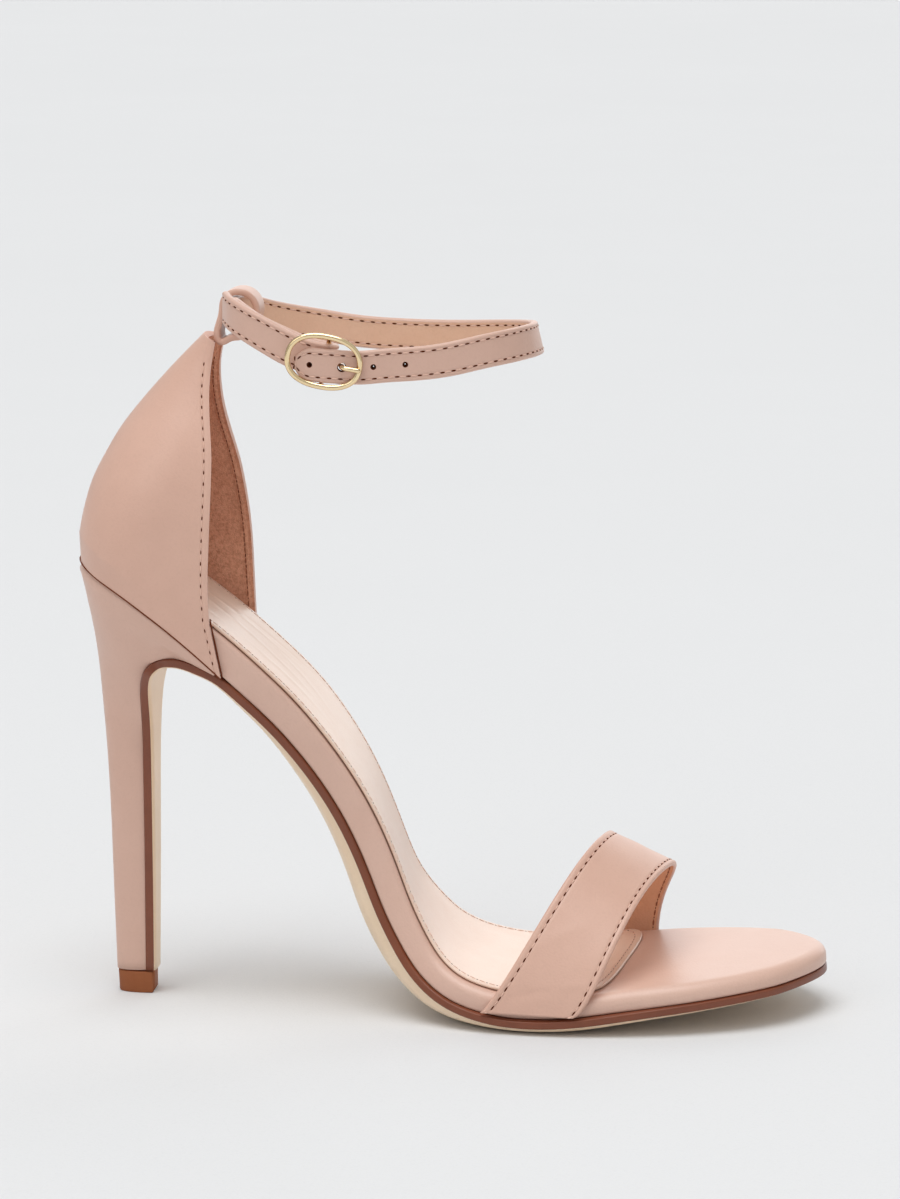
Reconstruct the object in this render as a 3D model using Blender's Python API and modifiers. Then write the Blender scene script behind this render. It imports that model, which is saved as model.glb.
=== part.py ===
"""Slim heeled sandal for a right foot: one toe band, a closed back and a buckled ankle strap.

X runs to the toe, minus Y is the lateral side, Z is up.
The origin is the middle of the ground face of the top lift.
All sizes are in millimetres until a mesh is written in metres.
"""

import bmesh
import bpy
import numpy as np
from mathutils import Matrix, Vector

# general fits
MM = 0.001
FIT = 0.3

# sole and footbed
LENGTH = 205.0
HEEL_SET = 15.0
HEEL_RISE = 117.5
TOE_SPRING = 8.0
BALL_HALF = 36.1
SOLE_EDGE = 2.0
SOLE_DOME = 2.0
SOLE_LEDGE = 0.5
STRAP_LEDGE = 1.4
BED_THICK = 7.1
BED_CORNER = 3.6
BED_CANT = 2.2
SOCK_THICK = 0.7
SOCK_INSET = 1.6
SOCK_FRONT = 136.8
SOCK_SKEW = 0.11
SOCK_ROUND = 8.5
SEAT_ROUND = 24.0
TOE_ROUND = 14.0

# heel
FLAP_FOOT = 6.6
LIFT_HEIGHT = 6.0
LIFT_DEPTH = 9.9
LIFT_HALF = 4.4
SEAT_REACH = 40.7
SEAT_DROP = 2.4
SEAT_LIP = 0.35
SEAT_BACK = 0.8

# counter and tab
COUNTER_WALL = 1.8
COUNTER_HALF = 25.2
COUNTER_TOP = 183.8
COUNTER_NEAR = 42.1
COUNTER_FAR = 45.3
TAB_WALL = 1.7
TAB_WIDTH = 10.0
TAB_DEPTH = 12.2
TAB_HEIGHT = 16.6
TAB_AHEAD = 2.7
TAB_SINK = 5.2
TAB_SOFT = 0.5

# toe strap
STRAP_WALL = 1.5
STRAP_HEIGHT = 41.5
STRAP_SHIFT = 2.7
STRAP_EASE = 0.95
STRAP_CROWN = 0.1
STRAP_SOFT = 0.7
STRAP_HOLLOW = 0.15

# ankle strap and buckle
BAND_WIDTH = 9.0
BAND_WALL = 1.9
BAND_SOFT = 0.45
BAND_TIP = 4.8
ANKLE_LENGTH = 81.5
ANKLE_WIDTH = 53.6
ANKLE_HEIGHT = 179.9
ANKLE_BACK = 43.5
WIRE = 1.25
BAR_WIRE = 1.3
PRONG_WIRE = 1.3
FRAME_LONG = 20.6
FRAME_TALL = 14.6
FRAME_TILT = 10.0
FRAME_OFF = 5.0
HOLE_BORE = 1.9
HOLE_PITCH = 8.4
SLOT_HEIGHT = 2.6
SLOT_LONG = 8.8
SLOT_DEEP = 6.6

# sole line: shares of LENGTH along, of HEEL_RISE, of TOE_SPRING, of BALL_HALF wide and off centre
SOLE_ROWS = [
    # along, rise, spring, half, centre
    (0.010, 0.996, 0.000, 0.634, 0.000),
    (0.034, 0.976, 0.000, 0.634, 0.000),
    (0.073, 0.941, 0.000, 0.634, 0.000),
    (0.112, 0.895, 0.000, 0.634, 0.000),
    (0.151, 0.841, 0.000, 0.632, 0.000),
    (0.190, 0.781, 0.000, 0.622, 0.000),
    (0.224, 0.725, 0.000, 0.604, 0.000),
    (0.268, 0.652, 0.000, 0.576, 0.000),
    (0.312, 0.564, 0.000, 0.556, 0.000),
    (0.348, 0.476, 0.000, 0.553, 0.003),
    (0.376, 0.390, 0.000, 0.565, 0.005),
    (0.399, 0.302, 0.000, 0.595, 0.004),
    (0.420, 0.216, 0.000, 0.640, 0.000),
    (0.443, 0.143, 0.000, 0.698, -0.006),
    (0.469, 0.082, 0.000, 0.765, -0.016),
    (0.505, 0.036, 0.000, 0.852, -0.030),
    (0.554, 0.009, 0.000, 0.928, -0.040),
    (0.595, 0.000, 0.000, 0.966, -0.036),
    (0.634, 0.000, 0.000, 0.988, -0.028),
    (0.673, 0.000, 0.060, 0.998, -0.016),
    (0.712, 0.000, 0.190, 1.000, -0.005),
    (0.751, 0.000, 0.335, 0.994, 0.008),
    (0.790, 0.000, 0.465, 0.976, 0.022),
    (0.829, 0.000, 0.580, 0.936, 0.036),
    (0.868, 0.000, 0.690, 0.866, 0.050),
    (0.905, 0.000, 0.785, 0.770, 0.064),
    (0.941, 0.000, 0.875, 0.645, 0.078),
    (0.971, 0.000, 0.945, 0.530, 0.088),
    (1.000, 0.000, 1.000, 0.430, 0.096),
]

# breast of the heel from the shank down: shares of LENGTH along, of HEEL_RISE, flap width of BALL_HALF
BREAST_ROWS = [
    # along, rise, half
    (0.2080, 0.7424, 0.600),
    (0.1910, 0.7580, 0.590),
    (0.1750, 0.7710, 0.585),
    (0.1585, 0.7810, 0.560),
    (0.1420, 0.7850, 0.530),
    (0.1270, 0.7825, 0.495),
    (0.1130, 0.7740, 0.450),
    (0.1020, 0.7590, 0.480),
    (0.0945, 0.7350, 0.440),
    (0.0905, 0.7000, 0.355),
    (0.0885, 0.6200, 0.230),
    (0.0880, 0.5000, 0.170),
    (0.0878, 0.3200, 0.148),
    (0.0874, 0.1400, 0.128),
    (0.0868, 0.0000, 0.116),
]

# thickness of the footbed, its round upper corner and how much lower its medial side lies
THICK_ROWS = [
    # along, bed, corner, cant
    (0.00, 1.00, 0.30, 0.00),
    (0.12, 1.04, 0.30, 0.00),
    (0.20, 1.16, 0.30, -0.20),
    (0.27, 1.10, 0.31, -0.50),
    (0.35, 1.04, 0.32, 0.00),
    (0.42, 1.03, 0.34, 0.90),
    (0.49, 1.00, 0.40, 1.10),
    (0.56, 0.92, 0.55, -0.20),
    (0.64, 0.85, 0.75, -0.50),
    (0.72, 0.79, 0.90, -0.30),
    (0.80, 0.76, 0.97, 0.00),
    (0.88, 0.70, 0.98, 0.00),
    (1.00, 0.72, 0.80, 0.00),
]

# depth of the domed underside of the outsole as a share of SOLE_DOME, from the toe to the foot of the flap
DOME_ROWS = [
    # along, depth
    (0.00, 0.35),
    (0.12, 0.75),
    (0.19, 1.00),
    (0.23, 1.00),
    (0.27, 1.08),
    (0.33, 2.00),
    (0.40, 2.60),
    (0.46, 2.35),
    (0.55, 1.65),
    (0.62, 0.90),
    (0.67, 0.48),
    (0.73, 0.36),
    (0.86, 0.33),
    (1.00, 0.30),
]

# heel sections from the top lift to the seat: shares of HEEL_RISE at the back, set back in HEEL_SET
HEEL_ROWS = [
    # back_set, back_rise, front (share of the breast line), half, front_half, round
    (0.410, 0.0000, 0.000, 0.128, 0.116, 2.3),
    (0.440, 0.1300, 0.130, 0.134, 0.124, 2.3),
    (0.470, 0.2700, 0.260, 0.142, 0.134, 2.3),
    (0.500, 0.4100, 0.390, 0.154, 0.146, 2.3),
    (0.552, 0.5500, 0.510, 0.176, 0.160, 2.3),
    (0.608, 0.6500, 0.590, 0.206, 0.178, 2.3),
    (0.655, 0.7300, 0.650, 0.258, 0.240, 2.3),
    (0.705, 0.7950, 0.700, 0.325, 0.300, 2.3),
    (0.755, 0.8450, 0.742, 0.398, 0.362, 2.35),
    (0.805, 0.8850, 0.780, 0.472, 0.425, 2.4),
    (0.855, 0.9200, 0.822, 0.548, 0.480, 2.45),
    (0.900, 0.9500, 0.866, 0.615, 0.520, 2.5),
    (0.950, 0.9760, 0.912, 0.660, 0.585, 2.5),
]

# counter rows above the seat: shares of LENGTH along and of COUNTER_TOP up, half width of COUNTER_HALF,
# and the share of each row over which its back is round
COUNTER_ROWS = [
    # back_along, back_up, lateral_along, lateral_up, medial_along, medial_up, half, bend
    (0.0005, 0.708, 0.1925, 0.585, 0.2170, 0.578, 1.000, 0.53),
    (0.0055, 0.736, 0.1905, 0.640, 0.2150, 0.635, 1.000, 0.55),
    (0.0125, 0.764, 0.1915, 0.695, 0.2125, 0.690, 0.985, 0.59),
    (0.0225, 0.792, 0.1930, 0.745, 0.2075, 0.741, 0.950, 0.63),
    (0.0390, 0.826, 0.1940, 0.795, 0.2000, 0.793, 0.880, 0.68),
    (0.0580, 0.860, 0.1925, 0.842, 0.1900, 0.842, 0.770, 0.74),
    (0.0846, 0.898, 0.1875, 0.886, 0.1835, 0.887, 0.610, 0.82),
    (0.1136, 0.935, 0.1845, 0.926, 0.1825, 0.928, 0.460, 0.90),
    (0.1424, 0.969, 0.1855, 0.959, 0.1855, 0.961, 0.360, 0.96),
    (0.1700, 1.000, 0.1900, 0.990, 0.1920, 0.990, 0.315, 1.00),
]

# toe strap edges: feet and forward lean as shares of LENGTH, height of STRAP_HEIGHT, run of the lean
STRAP_EDGES = [
    # lateral, medial, lean, height, early, late
    (0.5551, 0.6244, 0.1078, 0.982, 0.86, 1.2),
    (0.6780, 0.7640, 0.0600, 0.722, 0.62, 1.6),
]

# ankle band from its squared end, round the bar, the ankle and back to the tip:
# shares of ANKLE_LENGTH along, of ANKLE_WIDTH across, height over ANKLE_HEIGHT, rake and lean in degrees
BAND_ROWS = [
    # along, across, up, rake, lean
    (-0.0130, -0.205, 11.8, 0.0, 0.0),
    (0.0170, -0.322, 10.8, 0.0, 0.0),
    (0.0830, -0.434, 8.5, 2.0, 0.0),
    (0.1630, -0.494, 5.4, 6.0, 0.0),
    (0.2310, -0.518, 2.7, 9.0, 0.0),
    (0.3000, -0.532, 0.9, 10.0, 0.0),
    (0.3459, -0.5374, 0.20, 10.0, 0.0),
    (0.3621, -0.5270, -0.04, 10.0, 0.0),
    (0.3690, -0.5019, -0.14, 10.0, 0.0),
    (0.3621, -0.4768, -0.04, 10.0, 0.0),
    (0.3459, -0.4664, 0.20, 10.0, 0.0),
    (0.2700, -0.458, 1.6, 9.0, 0.0),
    (0.1900, -0.434, 4.1, 6.0, 0.0),
    (0.1080, -0.378, 6.8, 0.0, 0.0),
    (0.0480, -0.290, 9.3, 0.0, 0.0),
    (0.0150, -0.180, 10.0, 0.0, 0.0),
    (0.0020, -0.085, 9.3, 0.0, 0.0),
    (-0.0030, 0.000, 9.1, 0.0, 0.0),
    (0.0020, 0.095, 8.9, 0.0, 0.0),
    (0.0240, 0.210, 8.3, 0.0, 2.0),
    (0.0700, 0.325, 6.5, 0.0, 4.0),
    (0.1380, 0.420, 4.7, 0.0, 5.0),
    (0.2350, 0.483, 3.1, 0.0, 6.0),
    (0.3550, 0.508, 1.5, 0.0, 6.0),
    (0.5000, 0.510, 0.65, 0.0, 6.0),
    (0.6450, 0.492, 0.5, 0.0, 7.0),
    (0.7750, 0.446, 0.9, 0.0, 8.0),
    (0.8850, 0.362, 1.6, 0.0, 9.0),
    (0.9600, 0.240, 2.4, 0.0, 12.0),
    (0.9960, 0.095, 3.1, 0.0, 13.0),
    (1.0000, -0.050, 3.45, 0.0, 13.0),
    (0.9800, -0.195, 3.6, 0.0, 12.0),
    (0.9300, -0.330, 3.25, 0.0, 9.0),
    (0.8500, -0.430, 2.3, 0.0, 5.0),
    (0.7450, -0.494, 0.6, 0.0, 3.0),
    (0.6300, -0.527, -0.5, 0.0, 2.0),
    (0.5350, -0.545, -1.0, 0.0, 1.0),
    (0.4600, -0.556, -1.5, 0.0, 0.0),
    (0.4000, -0.571, -1.3, 0.0, 0.0),
    (0.3480, -0.579, -1.0, 0.0, 0.0),
    (0.2950, -0.570, -0.7, 0.0, 0.0),
    (0.2500, -0.561, -0.3, 0.0, 0.0),
]

# loop of the tab, as shares of TAB_DEPTH forward of its back foot and of TAB_HEIGHT up
TAB_ROWS = [
    # along, up
    (0.12, 0.38),
    (0.185, 0.54),
    (0.23, 0.70),
    (0.275, 0.87),
    (0.42, 0.97),
    (0.60, 1.00),
    (0.80, 0.96),
    (0.945, 0.85),
    (1.00, 0.70),
    (0.96, 0.55),
    (0.86, 0.41),
    (0.74, 0.31),
    (0.60, 0.265),
    (0.45, 0.25),
    (0.34, 0.215),
    (0.24, 0.18),
    (0.16, 0.19),
    (0.115, 0.26),
]


def clear_scene():
    """Remove every object that the scene holds."""
    for item in list(bpy.data.objects):
        bpy.data.objects.remove(item, do_unlink=True)


def spline(keys, values):
    """Natural cubic through the rows, as a function of the key."""
    keys = np.asarray(keys, float)
    values = np.asarray(values, float).reshape(len(keys), -1)
    gap = np.diff(keys)
    count = len(keys)
    matrix = np.eye(count)
    right = np.zeros((count, values.shape[1]))
    for i in range(1, count - 1):
        matrix[i, i - 1] = gap[i - 1]
        matrix[i, i] = 2.0 * (gap[i - 1] + gap[i])
        matrix[i, i + 1] = gap[i]
        slope_on = (values[i + 1] - values[i]) / gap[i]
        slope_in = (values[i] - values[i - 1]) / gap[i - 1]
        right[i] = 6.0 * (slope_on - slope_in)
    bend = np.linalg.solve(matrix, right)

    def at(key):
        key = np.atleast_1d(np.asarray(key, float))
        i = np.clip(np.searchsorted(keys, key) - 1, 0, count - 2)
        h = gap[i][:, None]
        a = (keys[i + 1] - key)[:, None]
        b = (key - keys[i])[:, None]
        curve = (bend[i] * a**3 + bend[i + 1] * b**3) / (6.0 * h)
        lines = (values[i] / h - bend[i] * h / 6.0) * a
        lines = lines + (values[i + 1] / h - bend[i + 1] * h / 6.0) * b
        return curve + lines

    return at


def chords(points):
    """Running length along a polyline."""
    steps = np.linalg.norm(np.diff(points, axis=0), axis=1)
    return np.concatenate([[0.0], np.cumsum(steps)])


def column(rows, index):
    """One column of a table."""
    return np.array([row[index] for row in rows], float)


def sole_line():
    """Points of the sole line, from the back of the seat to the toe tip."""
    x = column(SOLE_ROWS, 0) * LENGTH - HEEL_SET
    z = SOLE_EDGE + SOLE_DOME + column(SOLE_ROWS, 1) * HEEL_RISE + column(SOLE_ROWS, 2) * TOE_SPRING
    return np.stack([x, z], 1)


def breast_line():
    """Points of the breast of the heel, from the shank down to the top lift."""
    low = FLAP_FOOT
    x = column(BREAST_ROWS, 0) * LENGTH - HEEL_SET
    z = low + column(BREAST_ROWS, 1) * (HEEL_RISE + SOLE_EDGE + SOLE_DOME - low)
    return np.stack([x, z], 1)


class Line:
    """A smooth line in the XZ plane with lengths, directions and half widths."""

    def __init__(self, points, half, centre):
        rough = spline(chords(points), points)
        fine = rough(np.linspace(0.0, chords(points)[-1], 400))
        share = chords(points) / chords(points)[-1]
        run = chords(fine)
        self.length = run[-1]
        self.place = spline(run[::9].tolist() + [run[-1]], np.vstack([fine[::9], fine[-1:]]))
        self.wide = spline(share * self.length, np.stack([half, centre], 1))

    def at(self, s):
        """Point on the line."""
        return self.place(s)

    def up(self, s):
        """Unit direction square to the line, on its upper side."""
        s = np.atleast_1d(np.asarray(s, float))
        a = self.place(np.clip(s - 0.4, 0.0, self.length))
        b = self.place(np.clip(s + 0.4, 0.0, self.length))
        t = b - a
        t = t / np.linalg.norm(t, axis=1)[:, None]
        return np.stack([-t[:, 1], t[:, 0]], 1)

    def width(self, s):
        """Half width and centre across."""
        return self.wide(s)

    def lift(self, s, y, h):
        """Point in space from the length along, the place across and the height off the line."""
        p = self.at(s) + self.up(s) * np.atleast_1d(h)[:, None]
        return np.stack([p[:, 0], np.broadcast_to(y, p[:, 0].shape), p[:, 1]], 1)


def bed_line():
    """Line of the footbed with its half widths."""
    return Line(sole_line(), column(SOLE_ROWS, 3) * BALL_HALF, column(SOLE_ROWS, 4) * BALL_HALF)


def run_to(line, x):
    """Length along a line at which it first reaches a place forward."""
    s = np.linspace(0.0, line.length, 2000)
    return float(s[np.argmax(line.at(s)[:, 0] >= x)])


def round_end(distance, radius, power=2.0):
    """Share of the width left at a distance from a rounded end, squarer for a higher power."""
    d = np.clip(np.asarray(distance, float) / radius, 0.0, 1.0)
    return np.clip(1.0 - (1.0 - d) ** power, 0.0, 1.0) ** (1.0 / power)


def spaced(low, high, count):
    """Places between two ends, closer together near both."""
    t = np.linspace(0.0, np.pi, count)
    return low + (high - low) * 0.5 * (1.0 - np.cos(t))


def outline(s, half, centre):
    """Closed outline in the developed plane: lateral side to the toe, medial side back."""
    lateral = np.stack([s, centre - half], 1)
    medial = np.stack([s, centre + half], 1)[::-1]
    return np.vstack([lateral, medial[1:-1]])


def inset(loop, amount):
    """The outline moved inward along its own normals."""
    ahead = np.roll(loop, -1, axis=0)
    behind = np.roll(loop, 1, axis=0)
    tangent = ahead - behind
    tangent = tangent / np.linalg.norm(tangent, axis=1)[:, None]
    normal = np.stack([-tangent[:, 1], tangent[:, 0]], 1)
    return loop + normal * np.broadcast_to(amount, (len(loop),))[:, None]


def make(name, points, faces, smooth=True):
    """Mesh object from points in millimetres and faces."""
    mesh = bpy.data.meshes.new(name)
    mesh.from_pydata([tuple(p) for p in np.asarray(points) * MM], [], [list(f) for f in faces])
    mesh.validate()
    grid = bmesh.new()
    grid.from_mesh(mesh)
    bmesh.ops.remove_doubles(grid, verts=grid.verts, dist=0.00002)
    bmesh.ops.recalc_face_normals(grid, faces=grid.faces)
    if grid.calc_volume(signed=True) < 0.0:
        bmesh.ops.reverse_faces(grid, faces=grid.faces)
    grid.to_mesh(mesh)
    grid.free()
    item = bpy.data.objects.new(name, mesh)
    if smooth:
        for face in mesh.polygons:
            face.use_smooth = True
    return item


def rows_across(size, base):
    """Faces that close a ring by rows from one side to the other, its halves being mirror images."""
    faces = []
    for i in range(size // 2):
        ring = [i, i + 1, size - 1 - i, (size - i) % size]
        faces.append([base + k for k in dict.fromkeys(ring)])
    return faces


def sweep(name, rings, closed=False, paired=False):
    """Closed body through rings of equal count, capped at both ends unless it runs round."""
    size = len(rings[0])
    count = len(rings)
    points = np.vstack(rings)
    faces = []
    last = count if closed else count - 1
    for j in range(last):
        a = j * size
        b = ((j + 1) % count) * size
        for i in range(size):
            k = (i + 1) % size
            faces.append([a + i, a + k, b + k, b + i])
    ends = [] if closed else [0, (count - 1) * size]
    for base in ends:
        faces += rows_across(size, base) if paired else [[base + i for i in range(size)]]
    return make(name, points, faces)


def material(name, colour, rough, metal=0.0):
    """Plain surface material."""
    mat = bpy.data.materials.new(name)
    mat.use_nodes = True
    shader = mat.node_tree.nodes["Principled BSDF"]
    shader.inputs["Base Color"].default_value = (*colour, 1.0)
    shader.inputs["Roughness"].default_value = rough
    shader.inputs["Metallic"].default_value = metal
    return mat


def finish(item, group, mat):
    """Put an object in its collection with its material."""
    group.objects.link(item)
    item.data.materials.clear()
    item.data.materials.append(mat)
    return item


def joined_mesh(item):
    """Fresh mesh of an object with its modifiers and placement applied."""
    bpy.context.view_layer.update()
    graph = bpy.context.evaluated_depsgraph_get()
    mesh = bpy.data.meshes.new_from_object(item.evaluated_get(graph))
    mesh.transform(item.matrix_world)
    return mesh


def thick_at(share, index):
    """Value of a thickness column at a share along the sole."""
    return spline(column(THICK_ROWS, 0), column(THICK_ROWS, index))(share)[:, 0]


def bed_top(line, base):
    """Height of the footbed's upper face along an outline, lower on the medial side."""
    share = np.clip(base[:, 0] / line.length, 0.0, 1.0)
    half, centre = line.width(share * line.length).T
    across = np.clip(0.5 + 0.5 * (base[:, 1] - centre) / half, 0.0, 1.0)
    return thick_at(share, 1) * BED_THICK - thick_at(share, 3) * BED_CANT * across


def strap_ledge(x):
    """Extra width of the outsole where the toe strap comes down."""
    middle = 0.66 * LENGTH - HEEL_SET
    return STRAP_LEDGE * np.exp(-(((x - middle) / (0.13 * LENGTH)) ** 2))


def build_footbed(line):
    """Padded board with round upper corners."""
    s = spaced(0.0, line.length, 64)
    wide = line.width(s)
    cap = round_end(s, SEAT_ROUND) * round_end(line.length - s, TOE_ROUND)
    base = outline(s, wide[:, 0] * cap, wide[:, 1])
    share = base[:, 0] / line.length
    top = bed_top(line, base)
    corner = thick_at(share, 2) * BED_CORNER
    loops = [lifted(line, inset(base, 0.5), FIT), lifted(line, base, FIT + 0.5)]
    for turn in (0.0, 30.0, 60.0, 90.0):
        a = np.radians(turn)
        move = corner * (1.0 - np.cos(a))
        rise = FIT + top - corner * (1.0 - np.sin(a))
        loops.append(lifted(line, inset(base, move), rise))
    return sweep("footbed", loops, paired=True)


def lifted(line, loop, height):
    """Developed outline put in space at a height off the line."""
    s = np.clip(loop[:, 0], 0.0, line.length)
    over = loop[:, 0] - s
    p = line.lift(s, loop[:, 1], np.broadcast_to(height, s.shape))
    ahead = line.up(s)
    p[:, 0] += ahead[:, 1] * over
    p[:, 2] -= ahead[:, 0] * over
    return p


def build_sock(line):
    """Thin lining on the footbed with a rounded front."""
    low = 0.022 * line.length
    high = run_to(line, SOCK_FRONT)
    s = spaced(low, high, 60)
    wide = line.width(s)
    cap = round_end(s - low, SEAT_ROUND - SOCK_INSET) * round_end(high - s, SOCK_ROUND, 4.0)
    share = s / line.length
    corner = thick_at(share, 2) * BED_CORNER
    half = (wide[:, 0] - SOCK_INSET - 0.55 * corner) * cap
    base = outline(s, half, wide[:, 1])
    near = np.clip(1.0 - (high - base[:, 0]) / (5.0 * SOCK_ROUND), 0.0, 1.0)
    base[:, 0] += SOCK_SKEW * base[:, 1] * near
    top = FIT + bed_top(line, base) + 0.1
    loops = [
        lifted(line, base, top + FIT),
        lifted(line, base, top + FIT + 0.6 * SOCK_THICK),
        lifted(line, inset(base, 0.4 * SOCK_THICK), top + FIT + SOCK_THICK),
    ]
    return sweep("sock", loops, paired=True)


def outsole_line():
    """Line of the outsole from the toe back over the shank and down the breast."""
    shank = sole_line()
    keep = shank[:, 0] > 0.216 * LENGTH - HEEL_SET
    points = np.vstack([shank[keep][::-1], breast_line()])
    half = np.concatenate([column(SOLE_ROWS, 3)[keep][::-1] * BALL_HALF, column(BREAST_ROWS, 2) * BALL_HALF])
    middle = np.concatenate([column(SOLE_ROWS, 4)[keep][::-1] * BALL_HALF, np.zeros(len(BREAST_ROWS))])
    return Line(points, half, middle)


def build_outsole():
    """Outsole with an edge band and a domed underside, its flap square at the foot."""
    line = outsole_line()
    toe = spaced(0.0, line.length * 0.4, 44)[:33]
    breast = chords(breast_line())[-1]
    shank = np.linspace(toe[-1], line.length - breast, 20)[1:]
    curve = np.linspace(line.length - breast, line.length - 0.62 * breast, 20)[1:]
    flap = np.linspace(curve[-1], line.length, 8)[1:]
    s = np.concatenate([toe, shank, curve, flap])
    wide = line.width(s)
    x = line.at(s)[:, 0]
    cap = round_end(s, TOE_ROUND + SOLE_LEDGE)
    on_shank = line.length - s > 0.42 * line.length
    ledge = SOLE_LEDGE + np.where(on_shank, strap_ledge(x), 0.0)
    half = (wide[:, 0] + ledge) * cap
    lateral = np.stack([s, wide[:, 1] - half], 1)
    medial = np.stack([s, wide[:, 1] + half], 1)
    base = np.vstack([lateral, medial[1:][::-1]])
    run = base[:, 0] / line.length
    bow = spline(column(DOME_ROWS, 0), column(DOME_ROWS, 1))
    dome = bow(run)[:, 0] * SOLE_DOME
    reach = np.minimum(spline([0.0, 0.6, 0.72, 1.0], [1.0, 1.0, 0.45, 0.3])(run)[:, 0], 1.0)
    loops = []
    for move, drop in ((0.0, 0.0), (0.0, SOLE_EDGE)):
        loops.append(flap_loop(line, base, move * reach, -drop * np.ones(len(base))))
    for move, part in ((1.3, 0.40), (3.4, 0.75), (6.2, 0.94), (9.5, 1.0)):
        loops.append(flap_loop(line, base, move * reach, -SOLE_EDGE - dome * part))
    size = len(base)
    points = np.vstack(loops)
    points[:, 2] = np.maximum(points[:, 2], 0.0)
    faces = []
    for j in range(len(loops) - 1):
        for i in range(size):
            k = (i + 1) % size
            faces.append([j * size + i, j * size + k, (j + 1) * size + k, (j + 1) * size + i])
    for j in (0, len(loops) - 1):
        faces += rows_across(size, j * size)
    return make("outsole", points, faces)


def flap_loop(line, base, move, height):
    """Outline moved inward along its sides only, keeping the square foot of the flap."""
    loop = inset(base, move)
    end = base[:, 0] > line.length - 1e-6
    loop[end, 0] = base[end, 0]
    near = base[:, 0] > 0.6 * line.length
    middle = np.zeros(len(base))
    sign = np.sign(base[:, 1] - middle)
    loop[near, 0] = base[near, 0]
    loop[near, 1] = base[near, 1] - sign[near] * np.broadcast_to(move, (len(base),))[near]
    return lifted(line, loop, -height)


def heel_front(line, share):
    """Point of the breast at a share of its length from the foot, a fit behind the flap."""
    breast = chords(breast_line())[-1]
    return line.lift([line.length - share * breast], 0.0, [-FIT])[0][[0, 2]]


def build_heel(bed):
    """Slim heel from the top lift to the seat."""
    line = outsole_line()
    low = LIFT_HEIGHT + FIT
    table = np.array(HEEL_ROWS)
    smooth = spline(np.arange(len(table)), table)
    rings = []
    for row in smooth(np.linspace(0.0, len(table) - 1.0, 21)):
        back_set, back_rise, front, half, front_half, power = row
        back = np.array([-back_set * HEEL_SET, low + back_rise * (HEEL_RISE + SOLE_EDGE + SOLE_DOME - low)])
        fore = heel_front(line, front)
        fore[1] = max(fore[1], low)
        rings.append(heel_ring(back, fore, half * BALL_HALF, front_half * BALL_HALF, power, seat_steps()))
    steps = seat_steps()
    fade = np.concatenate([steps, steps[::-1][:-1]])
    for height, reach in ((-SEAT_DROP, 0.985), (-SEAT_LIP, 1.0), (0.0, 0.997)):
        rings.append(seat_ring(bed, steps, height * (1.0 - 0.75 * fade), reach))
    return sweep("heel", rings, paired=True)


def seat_steps():
    """Places along a half section from the back, closer together where it turns."""
    return np.linspace(0.0, 1.0, 15) ** 1.5


def heel_ring(back, fore, half, front_half, power, around):
    """One section of the heel between its back and its breast."""
    span = fore - back
    grow = (1.0 - (1.0 - around) ** power) ** (1.0 / power)
    y = half * grow
    y = y + (front_half - half) * around**3
    p = back + span * around[:, None]
    lateral = np.stack([p[:, 0], -y, p[:, 1]], 1)
    medial = np.stack([p[:, 0], y, p[:, 1]], 1)[::-1][:-1]
    return np.vstack([lateral, medial])


def seat_ring(bed, around, height, reach):
    """Section of the heel along the seat of the footbed."""
    low = SEAT_BACK - COUNTER_WALL
    high = run_to(bed, SEAT_REACH - HEEL_SET)
    s = low + (high - low) * around
    wide = bed.width(np.clip(s, 0.0, None))
    y = (wide[:, 0] + COUNTER_WALL) * round_end(s - low, SEAT_ROUND + COUNTER_WALL) * reach
    loop = np.vstack([np.stack([s, -y], 1), np.stack([s, y], 1)[::-1][:-1]])
    return lifted(bed, loop, height)


def build_lift():
    """Block under the heel, a rounded back and a straight front."""
    rings = []
    for height, grow in ((0.0, 0.975), (0.3, 1.0), (LIFT_HEIGHT - 0.3, 1.045), (LIFT_HEIGHT, 1.02)):
        back = np.array([-0.56 * LIFT_DEPTH * grow, height])
        fore = np.array([0.44 * LIFT_DEPTH, height])
        rings.append(heel_ring(back, fore, LIFT_HALF * grow, LIFT_HALF * 0.96, 2.6, seat_steps()))
    return sweep("top_lift", rings, paired=True)


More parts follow.
